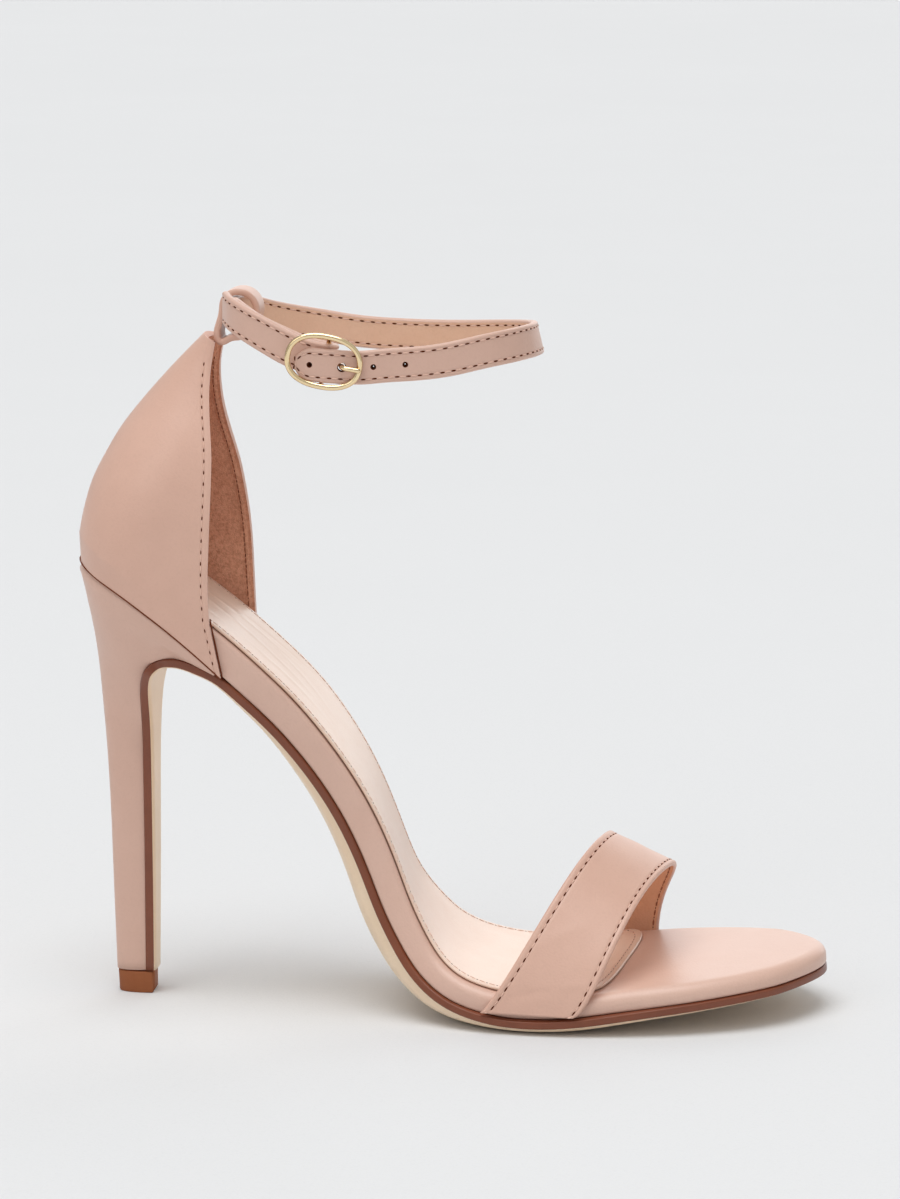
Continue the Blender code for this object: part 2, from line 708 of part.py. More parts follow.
def build_counter(bed):
    """Wall of the closed back, its outer face laid first and then thickened inward."""
    steps = seat_steps()
    around = np.concatenate([steps[::-1], steps[1:]])
    side = np.concatenate([-np.ones(len(steps)), np.ones(len(steps) - 1)])
    low = -COUNTER_WALL - FIT
    near = run_to(bed, COUNTER_NEAR - HEEL_SET)
    far = run_to(bed, COUNTER_FAR - HEEL_SET)
    s = low + (np.where(side < 0, near, far) - low) * around
    wide = bed.width(np.clip(s, 0.0, None))[:, 0] + COUNTER_WALL + FIT
    y = wide * round_end(s - low, SEAT_ROUND + COUNTER_WALL + FIT) * side
    rows = [lifted(bed, np.stack([s, y], 1), FIT)]
    table = np.array(COUNTER_ROWS)
    smooth = spline(np.arange(len(table)), table)
    for row in smooth(np.linspace(0.0, len(table) - 1.0, 14)):
        back = np.array([row[0] * LENGTH - HEEL_SET, row[1] * COUNTER_TOP])
        lateral = np.array([row[2] * LENGTH - HEEL_SET, row[3] * COUNTER_TOP])
        medial = np.array([row[4] * LENGTH - HEEL_SET, row[5] * COUNTER_TOP])
        front = np.where(side[:, None] < 0, lateral, medial)
        p = back + (front - back) * around[:, None]
        y = row[6] * COUNTER_HALF * round_end(around, row[7]) * side
        rows.append(np.stack([p[:, 0], y, p[:, 1]], 1))
    size = len(around)
    faces = []
    for j in range(len(rows) - 1):
        for i in range(size - 1):
            faces.append([j * size + i, j * size + i + 1, (j + 1) * size + i + 1, (j + 1) * size + i])
    item = make("counter", np.vstack(rows), faces)
    shell = item.modifiers.new("wall", "SOLIDIFY")
    shell.thickness = COUNTER_WALL * MM
    shell.offset = -1.0
    shell.use_even_offset = True
    return item


def build_tab():
    """Closed loop of strip."""
    points = np.stack([column(TAB_ROWS, 0) * TAB_DEPTH, column(TAB_ROWS, 1) * TAB_HEIGHT], 1)
    back = COUNTER_ROWS[-1][0] * LENGTH - HEEL_SET
    base = np.array([back + TAB_AHEAD, COUNTER_TOP - TAB_SINK])
    points = points + base
    around = np.vstack([points[-3:], points, points[:4]])
    run = chords(around)
    line = spline(run, around)
    key = np.linspace(run[3], run[3 + len(points)], 35)[:-1]
    middle = line(key)
    tangent = np.roll(middle, -1, axis=0) - np.roll(middle, 1, axis=0)
    tangent = tangent / np.linalg.norm(tangent, axis=1)[:, None]
    out = np.stack([-tangent[:, 1], tangent[:, 0]], 1)
    half = TAB_WIDTH / 2.0
    wall = TAB_WALL / 2.0
    flat = half - TAB_SOFT
    section = [(-half, -0.5 * wall), (-half, 0.5 * wall), (-flat, wall), (flat, wall)]
    section += [(half, 0.5 * wall), (half, -0.5 * wall), (flat, -wall), (-flat, -wall)]
    rings = []
    for p, n in zip(middle, out):
        rings.append(np.array([(p[0] + n[0] * d, y, p[1] + n[1] * d) for y, d in section]))
    return sweep("tab_loop", rings, closed=True)


def strap_edge(bed, row, turn):
    """Line of one edge of the toe strap from its lateral foot to its medial foot."""
    lateral, medial, lean, height, early, late = row
    c = np.cos(turn)
    w = np.clip(np.sin(turn), 0.0, 1.0)
    across = -np.sign(c) * np.abs(c) ** 0.94
    share = 0.5 * (1.0 + across)
    x = (lateral + (medial - lateral) * share + lean * w ** (early + late * share**2)) * LENGTH - HEEL_SET
    feet = np.array([run_to(bed, x[0]), run_to(bed, x[-1])])
    half, centre = bed.width(feet).T
    low = centre[0] - half[0] - STRAP_EASE
    high = centre[1] + half[1] + STRAP_EASE
    y = low + (high - low) * share + STRAP_SHIFT * w
    z = bed.at(feet)[:, 1]
    z = z[0] + (z[1] - z[0]) * share + 2.0 * FIT + height * STRAP_HEIGHT * w**1.05
    return np.stack([x, y, z], -1)


def build_toe_strap(bed):
    """Arched band with rolled edges."""
    turn = np.linspace(0.0, np.pi, 39)
    back = strap_edge(bed, STRAP_EDGES[0], turn)
    front = strap_edge(bed, STRAP_EDGES[1], turn)
    along = np.gradient(0.5 * (back + front), axis=0)
    cross = front - back
    length = np.linalg.norm(cross, axis=1)
    cross = cross / length[:, None]
    out = np.cross(along, cross)
    out = out / np.linalg.norm(out, axis=1)[:, None]
    if out[len(turn) // 2, 2] < 0.0:
        out = -out
    rings = []
    for i in range(len(turn)):
        section = np.array(strap_section(length[i]))
        crown = STRAP_CROWN * (1.0 - (2.0 * section[:, 0] / length[i] - 1.0) ** 2)
        lift = section[:, 1] + crown
        rings.append(back[i] + cross[i] * section[:, :1] + out[i] * lift[:, None])
    return sweep("toe_strap", rings)


def strap_section(length):
    """Section of the toe strap as places across and off its inner face."""
    wall = STRAP_WALL
    soft = STRAP_SOFT
    ring = [(soft, 0.0)]
    ring += [(length * k, STRAP_HOLLOW) for k in (0.2, 0.4, 0.6, 0.8)]
    ring += [(length - soft, 0.0), (length, 0.35 * wall), (length, 0.8 * wall), (length - soft, wall)]
    ring += [(length * k, wall) for k in (0.8, 0.6, 0.4, 0.2)]
    ring += [(soft, wall), (0.0, 0.8 * wall), (0.0, 0.35 * wall)]
    return ring


def band_points():
    """Centre line of the ankle band with its lean."""
    x = ANKLE_BACK - HEEL_SET + column(BAND_ROWS, 0) * ANKLE_LENGTH
    y = column(BAND_ROWS, 1) * ANKLE_WIDTH
    z = ANKLE_HEIGHT + column(BAND_ROWS, 2)
    return np.stack([x, y, z, column(BAND_ROWS, 3), column(BAND_ROWS, 4)], 1)


def band_frame(key, line):
    """Direction, width and outward vectors of the band."""
    ahead = line(key + 0.05)[:, :3] - line(key - 0.05)[:, :3]
    ahead = ahead / np.linalg.norm(ahead, axis=1)[:, None]
    rake = np.radians(line(key)[:, 3])
    lean = np.radians(line(key)[:, 4])
    upright = np.stack([np.sin(rake), np.zeros(len(key)), np.cos(rake)], 1)
    side = np.cross(ahead, upright)
    side = side / np.linalg.norm(side, axis=1)[:, None]
    wide = np.cross(side, ahead)
    turned = wide * np.cos(lean)[:, None] + side * np.sin(lean)[:, None]
    out = np.cross(ahead, turned)
    return ahead, turned, out


def build_band():
    """Ankle band with a square end, a folded bight and a rounded tip."""
    points = band_points()
    run = chords(points[:, :3])
    line = spline(run, points)
    key = np.concatenate([
        np.linspace(run[0], run[5], 12)[:-1],
        np.linspace(run[5], run[11], 19)[:-1],
        np.linspace(run[11], run[-1] - 0.94 * BAND_TIP, 54)[:-1],
        spaced(run[-1] - 1.88 * BAND_TIP, run[-1], 15)[7:],
    ])
    key[-1] = run[-1] - 0.03
    middle = line(key)[:, :3]
    ahead, wide, out = band_frame(key, line)
    taper = round_end(run[-1] - key, BAND_TIP)
    half = BAND_WIDTH / 2.0
    wall = BAND_WALL / 2.0
    rings = []
    for p, w, n, g in zip(middle, wide, out, taper):
        top = half * g
        soft = min(BAND_SOFT, 0.6 * top)
        flat = [(-top, -0.45 * wall), (-top, 0.45 * wall), (-top + soft, wall), (top - soft, wall)]
        flat += [(top, 0.45 * wall), (top, -0.45 * wall), (top - soft, -wall), (-top + soft, -wall)]
        rings.append(np.array([p + w * a + n * b for a, b in flat]))
    return sweep("ankle_strap", rings)


def bar_place():
    """Middle of the bar of the buckle."""
    rows = band_points()
    fold = rows[6:11, :3]
    middle = 0.5 * (fold[0] + fold[-1])
    return middle


def wire(name, points, radius, cyclic):
    """Round wire through points in millimetres."""
    data = bpy.data.curves.new(name, "CURVE")
    data.dimensions = "3D"
    data.bevel_depth = radius * MM
    data.bevel_resolution = 2
    data.use_fill_caps = True
    part = data.splines.new("POLY")
    part.points.add(len(points) - 1)
    for node, p in zip(part.points, points):
        node.co = (p[0] * MM, p[1] * MM, p[2] * MM, 1.0)
    part.use_cyclic_u = cyclic
    item = bpy.data.objects.new(name, data)
    bpy.context.scene.collection.objects.link(item)
    mesh = joined_mesh(item)
    bpy.data.objects.remove(item, do_unlink=True)
    grid = bmesh.new()
    grid.from_mesh(mesh)
    bmesh.ops.remove_doubles(grid, verts=grid.verts, dist=0.00001)
    bmesh.ops.recalc_face_normals(grid, faces=grid.faces)
    grid.to_mesh(mesh)
    grid.free()
    for face in mesh.polygons:
        face.use_smooth = True
    return bpy.data.objects.new(name, mesh)


def cut(item, tool, operation):
    """Apply one exact Boolean."""
    step = item.modifiers.new("step", "BOOLEAN")
    step.operation = operation
    step.solver = "EXACT"
    step.object = tool
    mesh = joined_mesh(item)
    item.modifiers.clear()
    item.data = mesh


def turned(points, middle):
    """Points given in the plane of the buckle, put in space."""
    tilt = Matrix.Rotation(np.radians(FRAME_TILT), 3, "Y")
    return [tuple(Vector(middle) + tilt @ Vector(p)) for p in points]


def build_frame(cutters):
    """Oval frame and its cranked bar in one piece."""
    middle = bar_place()
    long = (FRAME_LONG - WIRE) / 2.0
    tall = (FRAME_TALL - WIRE) / 2.0
    turn = np.linspace(0.0, 2.0 * np.pi, 41)[:-1]
    c = np.cos(turn)
    w = np.sin(turn)
    across = long * np.sign(c) * np.abs(c) ** 0.86
    upward = tall * np.sign(w) * np.abs(w) ** 0.86
    oval = [(a, -FRAME_OFF, b) for a, b in zip(across, upward)]
    ring = wire("buckle_frame", turned(oval, middle), WIRE / 2.0, True)
    high = BAND_WIDTH / 2.0 + FIT + BAR_WIRE
    crank = [(0.0, -FRAME_OFF, tall), (0.0, -3.1, high + 0.35), (0.0, -1.8, high + 0.1)]
    crank += [(0.0, -0.6, high - 0.6), (0.0, 0.0, high - 1.2)]
    path = crank + [(x, y, -z) for x, y, z in crank[::-1]]
    bar = wire("bar", turned(path, middle), BAR_WIRE / 2.0, False)
    cutters.objects.link(bar)
    bpy.context.scene.collection.objects.link(ring)
    cut(ring, bar, "UNION")
    bpy.context.scene.collection.objects.unlink(ring)
    return ring


def prong_points():
    """Centre line of the prong from its hook on the bar over the side of the frame."""
    reach = BAR_WIRE / 2.0 + FIT + PRONG_WIRE / 2.0
    hook = [(reach * np.cos(a), reach * np.sin(a), 0.0) for a in np.radians(np.arange(240.0, -1.0, -20.0))]
    rest = -FRAME_OFF - WIRE / 2.0 - FIT - PRONG_WIRE / 2.0
    far = (FRAME_LONG - WIRE) / 2.0
    hook += [(1.95, -0.8, -0.05), (2.8, -1.5, -0.2), (3.8, -1.9, -0.35)]
    hook += [(4.55, -2.5, -0.45), (4.8, -3.5, -0.48)]
    hook += [(4.9, -4.7, -0.48), (5.3, rest + 0.6, -0.48), (6.2, rest - 0.1, -0.46), (7.8, rest - 0.2, -0.45)]
    return hook + [(far + 0.6, rest, -0.45)]


def build_prong():
    """Prong of the buckle."""
    return wire("buckle_prong", turned(prong_points(), bar_place()), PRONG_WIRE / 2.0, False)


def rod(name, middle, direction, radius, length, cutters):
    """Round cutter along a direction."""
    grid = bmesh.new()
    bmesh.ops.create_cone(
        grid, cap_ends=True, segments=12, radius1=radius * MM, radius2=radius * MM, depth=length * MM
    )
    turn = Vector((0.0, 0.0, 1.0)).rotation_difference(Vector(direction)).to_matrix().to_4x4()
    bmesh.ops.transform(grid, matrix=Matrix.Translation(Vector(middle) * MM) @ turn, verts=grid.verts)
    mesh = bpy.data.meshes.new(name)
    grid.to_mesh(mesh)
    grid.free()
    item = bpy.data.objects.new(name, mesh)
    cutters.objects.link(item)
    return item


def punch(band, cutters):
    """Cut the prong slot in the fold and the row of holes in the tail."""
    middle = bar_place()
    grid = bmesh.new()
    bmesh.ops.create_cube(grid, size=1.0)
    size = Matrix.Diagonal((SLOT_LONG * MM, SLOT_DEEP * MM, SLOT_HEIGHT * MM, 1.0))
    tilt = Matrix.Rotation(np.radians(FRAME_TILT), 4, "Y")
    place = Matrix.Translation((Vector(middle) + Vector((1.0, 0.35, -0.1))) * MM)
    bmesh.ops.transform(grid, matrix=place @ tilt @ size, verts=grid.verts)
    mesh = bpy.data.meshes.new("slot")
    grid.to_mesh(mesh)
    grid.free()
    slot = bpy.data.objects.new("slot", mesh)
    cutters.objects.link(slot)
    bpy.context.scene.collection.objects.link(band)
    cut(band, slot, "DIFFERENCE")
    points = band_points()
    run = chords(points[:, :3])
    line = spline(run, points)
    start = np.array(turned([(4.8, -3.6, -0.48)], middle)[0])
    fine = np.linspace(run[-9], run[-1], 400)
    near = fine[np.argmin(np.linalg.norm(line(fine)[:, :3] - start, axis=1))]
    for step in (-1, 0, 1, 2):
        key = np.array([near - step * HOLE_PITCH])
        ahead, wide, out = band_frame(key, line)
        p = line(key)[0, :3]
        bore = HOLE_BORE if step == 0 else 0.85 * HOLE_BORE
        hole = rod("hole", p, out[0], bore / 2.0 + (0.25 if step == 0 else 0.0), 2.6, cutters)
        cut(band, hole, "DIFFERENCE")
    bpy.context.scene.collection.objects.unlink(band)


def main():
    """Build every piece and put each in the shoe's collection."""
    clear_scene()
    shoe = bpy.data.collections.new("heeled_sandal")
    bpy.context.scene.collection.children.link(shoe)
    cutters = bpy.data.collections.new("cutters")
    bpy.context.scene.collection.children.link(cutters)
    blush = material("blush_leather", (0.62, 0.39, 0.30), 0.42)
    pale = material("sock_lining", (0.72, 0.55, 0.45), 0.35)
    tan = material("sole_unit", (0.28, 0.12, 0.055), 0.5)
    lift = material("lift_rubber", (0.25, 0.09, 0.035), 0.5)
    gold = material("gold_metal", (0.83, 0.62, 0.30), 0.18, 1.0)
    bed = bed_line()
    finish(build_outsole(), shoe, tan)
    finish(build_footbed(bed), shoe, blush)
    finish(build_sock(bed), shoe, pale)
    finish(build_heel(bed), shoe, blush)
    finish(build_lift(), shoe, lift)
    finish(build_counter(bed), shoe, blush)
    finish(build_tab(), shoe, blush)
    finish(build_toe_strap(bed), shoe, blush)
    band = build_band()
    punch(band, cutters)
    finish(band, shoe, blush)
    finish(build_frame(cutters), shoe, gold)
    finish(build_prong(), shoe, gold)
    for item in cutters.objects:
        item.hide_render = True
        item.display_type = "WIRE"


main()
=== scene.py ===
"""Looks of a slim heeled sandal for a right foot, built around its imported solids.

X runs to the toe, minus Y is the lateral side with the buckle, Z is up.
Shapes are worked out in millimetres and written to meshes in metres.
"""

import logging
import math
from collections.abc import Callable, Sequence
from dataclasses import dataclass, field
from enum import Enum

import bmesh
import bpy
import numpy as np
from mathutils import Matrix, Vector


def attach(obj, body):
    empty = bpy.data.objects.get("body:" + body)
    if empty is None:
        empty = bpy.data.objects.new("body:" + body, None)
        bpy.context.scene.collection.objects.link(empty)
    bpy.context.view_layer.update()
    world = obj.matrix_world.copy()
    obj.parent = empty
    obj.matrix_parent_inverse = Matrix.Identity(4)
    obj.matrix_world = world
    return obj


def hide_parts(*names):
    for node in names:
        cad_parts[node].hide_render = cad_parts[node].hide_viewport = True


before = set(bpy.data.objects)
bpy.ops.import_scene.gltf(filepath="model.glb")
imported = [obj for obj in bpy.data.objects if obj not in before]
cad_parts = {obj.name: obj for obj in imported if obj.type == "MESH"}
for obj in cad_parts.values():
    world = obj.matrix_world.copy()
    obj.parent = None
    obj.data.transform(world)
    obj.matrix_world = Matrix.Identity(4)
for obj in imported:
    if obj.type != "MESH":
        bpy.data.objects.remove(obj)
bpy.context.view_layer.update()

Array = np.ndarray
Surface = Callable[[Array, Array], Array]
LOG = logging.getLogger("sandal")
# One millimetre in metres
MM = 0.001
# Clearance between neighbouring pieces in millimetres
FIT = 0.3


def tone(red: float, green: float, blue: float) -> tuple[float, float, float, float]:
    """Linear colour of display values: each is taken through the display's own curve.

    Args:
        red: display value from 0 to 255.
        green: display value from 0 to 255.
        blue: display value from 0 to 255.

    Returns:
        The colour with full cover.
    """
    display = np.array([red, green, blue]) / 255.0
    linear = np.where(display <= 0.04045, display / 12.92, ((display + 0.055) / 1.055) ** 2.4)
    return (*(float(v) for v in linear), 1.0)


class Curve:
    """Natural cubic curve through keyed rows."""

    def __init__(self, keys: Sequence[float] | Array, values: Sequence | Array) -> None:
        """Solve the second slopes: each inner row is smooth, and both ends are straight.

        Args:
            keys: rising key of each row.
            values: one value or one row of values per key.
        """
        self.keys = np.asarray(keys, float)
        count = len(self.keys)
        self.values = np.asarray(values, float).reshape(count, -1)
        gap = np.diff(self.keys)
        slope = np.diff(self.values, axis=0) / gap[:, None]
        inner = np.arange(1, count - 1)
        matrix = np.eye(count)
        matrix[inner, inner - 1] = gap[:-1]
        matrix[inner, inner] = 2.0 * (gap[:-1] + gap[1:])
        matrix[inner, inner + 1] = gap[1:]
        right = np.zeros_like(self.values)
        right[inner] = 6.0 * (slope[1:] - slope[:-1])
        self.bend = np.linalg.solve(matrix, right)

    def __call__(self, key: float | Array) -> Array:
        """Values at the keys: cubic between the two rows around each key.

        Args:
            key: places along the curve.

        Returns:
            One row of values per key.
        """
        key = np.atleast_1d(np.asarray(key, float))
        i = np.clip(np.searchsorted(self.keys, key) - 1, 0, len(self.keys) - 2)
        h = (self.keys[i + 1] - self.keys[i])[:, None]
        a = (self.keys[i + 1] - key)[:, None]
        b = (key - self.keys[i])[:, None]
        cubic = (self.bend[i] * a**3 + self.bend[i + 1] * b**3) / (6.0 * h)
        low = (self.values[i] / h - self.bend[i] * h / 6.0) * a
        high = (self.values[i + 1] / h - self.bend[i + 1] * h / 6.0) * b
        return cubic + low + high


def chords(points: Array) -> Array:
    """Running length along a polyline."""
    steps = np.linalg.norm(np.diff(points, axis=0), axis=1)
    return np.concatenate([[0.0], np.cumsum(steps)])


def unit(vectors: Array) -> Array:
    """Vectors at length one."""
    return vectors / np.maximum(np.linalg.norm(vectors, axis=-1, keepdims=True), 1e-9)


def round_end(distance: Array, radius: float, power: float = 2.0) -> Array:
    """Share of the width left near a rounded end: a quarter of a superellipse.

    Args:
        distance: how far each place is from the end.
        radius: length of the rounding.
        power: two for an arc, more for a squarer end.

    Returns:
        Shares from zero at the end to one past the rounding.
    """
    d = np.clip(np.asarray(distance, float) / radius, 0.0, 1.0)
    return np.clip(1.0 - (1.0 - d) ** power, 0.0, 1.0) ** (1.0 / power)


def spaced(low: float, high: float, count: int) -> Array:
    """Places between two ends, closer together near both."""
    return low + (high - low) * 0.5 * (1.0 - np.cos(np.linspace(0.0, np.pi, count)))


def bump_at(distance: Array, place: float, reach: float) -> Array:
    """Soft hump of height one centred at a place."""
    return np.exp(-(((distance - place) / reach) ** 2))


def inset(loop: Array, amount: float | Array) -> Array:
    """Move a closed outline inward along its own normals.

    Args:
        loop: outline as places along and across.
        amount: distance for the whole outline or for each point.

    Returns:
        The moved outline.
    """
    along = unit(np.roll(loop, -1, axis=0) - np.roll(loop, 1, axis=0))
    normal = np.stack([-along[:, 1], along[:, 0]], 1)
    return loop + normal * np.broadcast_to(amount, (len(loop),))[:, None]


def normal_of(surface: Surface, u: Array, v: Array, step: float = 0.01) -> Array:
    """Unit normal of a surface of two parameters: cross product of its two slopes.

    Args:
        surface: function of two parameters that gives points.
        u: first parameter of each point.
        v: second parameter of each point.
        step: reach of the differences in parameter units.

    Returns:
        One unit vector per point.
    """
    along = surface(u + step, v) - surface(u - step, v)
    across = surface(u, v + step) - surface(u, v - step)
    return unit(np.cross(along, across))


@dataclass(frozen=True)
class Fold:
    """Soft ridge, or trough with a minus depth, placed on a surface in its own sizes."""

    along: float
    across: float
    reach: float
    width: float
    turn: float
    depth: float


def relief(folds: Sequence[Fold], along: Array, across: Array) -> Array:
    """Height from the folds: each is a long Gaussian hump turned in the surface.

    Args:
        folds: ridges and troughs.
        along: place along the surface in millimetres.
        across: place across the surface in millimetres.

    Returns:
        Height in millimetres at each place.
    """
    height = np.zeros(np.broadcast(along, across).shape)
    for fold in folds:
        c, s = math.cos(math.radians(fold.turn)), math.sin(math.radians(fold.turn))
        p = (along - fold.along) * c + (across - fold.across) * s
        q = (across - fold.across) * c - (along - fold.along) * s
        height += fold.depth * np.exp(-((p / fold.reach) ** 2) - (q / fold.width) ** 2)
    return height


class Graph:
    """Short hand for building a node tree."""

    def __init__(self, tree: bpy.types.NodeTree) -> None:
        """Keep the tree and clear it."""
        self.tree = tree
        tree.nodes.clear()

    def add(self, kind: str, inputs: dict | None = None, **settings: object) -> bpy.types.Node:
        """Add a node and set or link its inputs.

        Args:
            kind: node type without the ShaderNode prefix.
            inputs: value or socket for each named or numbered input.
            settings: properties of the node.

        Returns:
            The new node.
        """
        node = self.tree.nodes.new("ShaderNode" + kind)
        for key, value in settings.items():
            setattr(node, key, value)
        for key, value in (inputs or {}).items():
            if isinstance(value, bpy.types.NodeSocket):
                self.tree.links.new(value, node.inputs[key])
            else:
                node.inputs[key].default_value = value
        return node

    def math(self, operation: str, first: object, second: object = 0.0) -> bpy.types.NodeSocket:
        """Result of one math node."""
        return self.add("Math", {0: first, 1: second}, operation=operation).outputs[0]

    def noise(self, place: object, scale: object, detail: float, **inputs: float) -> bpy.types.Node:
        """Noise texture read at a place."""
        return self.add("TexNoise", {"Vector": place, "Scale": scale, "Detail": detail, **inputs})

    def ramp(self, value: object, low: float, high: float, most: float = 1.0) -> bpy.types.NodeSocket:
        """Share that rises from zero where the value is low to the most where it is high."""
        return self.add("MapRange", {"Value": value, 1: low, 2: high, 3: 0.0, 4: most}).outputs[0]


def new_group(name: str, inputs: dict[str, str], outputs: dict[str, str]) -> tuple[Graph, dict, dict]:
    """Empty shader group with named sockets.

    Args:
        name: name of the group.
        inputs: socket kind of each input.
        outputs: socket kind of each output.

    Returns:
        The graph, its input sockets by name and its output sockets by name.
    """
    tree = bpy.data.node_groups.new(name, "ShaderNodeTree")
    for key, kind in inputs.items():
        tree.interface.new_socket(key, in_out="INPUT", socket_type="NodeSocket" + kind)
    for key, kind in outputs.items():
        tree.interface.new_socket(key, in_out="OUTPUT", socket_type="NodeSocket" + kind)
    graph = Graph(tree)
    source = tree.nodes.new("NodeGroupInput")
    sink = tree.nodes.new("NodeGroupOutput")
    return graph, {s.name: s for s in source.outputs}, {s.name: s for s in sink.inputs}


def clouds_group() -> bpy.types.NodeTree:
    """Two tones mixed by soft clouds of two sizes.

    Returns:
        Group with a colour and the mask that mixed it.
    """
    graph, inp, out = new_group(
        "tone_clouds",
        {"Vector": "Vector", "Scale": "Float", "Light": "Color", "Dark": "Color", "Contrast": "Float"},
        {"Color": "Color", "Mask": "Float"},
    )
    broad = graph.noise(inp["Vector"], inp["Scale"], 2.0)
    fine = graph.noise(inp["Vector"], graph.math("MULTIPLY", inp["Scale"], 7.3), 2.0)
    share = graph.math("MULTIPLY", fine.outputs[0], 0.35)
    both = graph.math("ADD", graph.math("MULTIPLY", broad.outputs[0], 0.65), share)
    centred = graph.math("MULTIPLY", graph.math("SUBTRACT", both, 0.5), inp["Contrast"])
    mask = graph.add("Clamp", {"Value": graph.math("ADD", centred, 0.5)}).outputs[0]
    mix = graph.add("Mix", {"Factor": mask, 6: inp["Dark"], 7: inp["Light"]}, data_type="RGBA")
    graph.tree.links.new(mix.outputs[2], out["Color"])
    graph.tree.links.new(mask, out["Mask"])
    return graph.tree


def grain_group() -> bpy.types.NodeTree:
    """Leather grain: small rounded cells with pores and faint creases between them.

    Returns:
        Group with a height and a pore mask.
    """
    graph, inp, out = new_group(
        "leather_grain",
        {"Vector": "Vector", "Cells": "Float", "Creases": "Float"},
        {"Height": "Float", "Pores": "Float"},
    )
    warp = graph.noise(inp["Vector"], 260.0, 0.0)
    bent = graph.add("VectorMath", {0: warp.outputs[1], 1: (0.0014, 0.0014, 0.0014)}, operation="MULTIPLY")
    place = graph.add("VectorMath", {0: inp["Vector"], 1: bent.outputs[0]}, operation="ADD").outputs[0]
    cells = graph.add("TexVoronoi", {"Vector": place, "Scale": inp["Cells"]}, feature="F1")
    lines = graph.noise(place, inp["Creases"], 2.0, Distortion=0.6)
    ridge = graph.math("SUBTRACT", 1.0, cells.outputs["Distance"])
    from_line = graph.math("ABSOLUTE", graph.math("SUBTRACT", lines.outputs[0], 0.5))
    crease = graph.math("MULTIPLY", from_line, 1.6)
    height = graph.math("ADD", graph.math("MULTIPLY", ridge, 0.55), graph.math("MULTIPLY", crease, 0.6))
    pores = graph.ramp(cells.outputs["Distance"], 0.55, 0.85)
    graph.tree.links.new(height, out["Height"])
    graph.tree.links.new(pores, out["Pores"])
    return graph.tree


def rub_group() -> bpy.types.NodeTree:
    """Faint rubbed patches and fine streaks that change the gloss.

    Returns:
        Group with a value to add to a roughness and a streak mask.
    """
    graph, inp, out = new_group(
        "rub_marks",
        {"Vector": "Vector", "Scale": "Float", "Amount": "Float"},
        {"Gloss": "Float", "Streaks": "Float"},
    )
    patch = graph.noise(inp["Vector"], inp["Scale"], 3.0, Roughness=0.6)
    squeeze = graph.add("VectorMath", {0: inp["Vector"], 1: (0.22, 1.0, 1.6)}, operation="MULTIPLY")
    streak = graph.noise(squeeze.outputs[0], graph.math("MULTIPLY", inp["Scale"], 14.0), 1.0)
    mask = graph.ramp(streak.outputs[0], 0.6, 0.78)
    centred = graph.math("SUBTRACT", patch.outputs[0], 0.5)
    total = graph.math("ADD", centred, graph.math("MULTIPLY", mask, 0.25))
    graph.tree.links.new(graph.math("MULTIPLY", total, inp["Amount"]), out["Gloss"])
    graph.tree.links.new(mask, out["Streaks"])
    return graph.tree


class Effect(Enum):
    """Shader groups that the finishes share."""

    CLOUDS = "tone_clouds"
    GRAIN = "leather_grain"
    RUB = "rub_marks"

    def tree(self) -> bpy.types.NodeTree:
        """The group's tree, made the first time it is asked for."""
        makers = {"tone_clouds": clouds_group, "leather_grain": grain_group, "rub_marks": rub_group}
        return bpy.data.node_groups.get(self.value) or makers[self.value]()

    def node(self, graph: Graph, inputs: dict) -> bpy.types.Node:
        """Node of the group in a material's tree, with its inputs set or linked."""
        return graph.add("Group", inputs, node_tree=self.tree())


class Nap(Enum):
    """What the surface between the pores is like."""

    SMOOTH = "smooth"
    SUEDE = "suede"
    METAL = "metal"


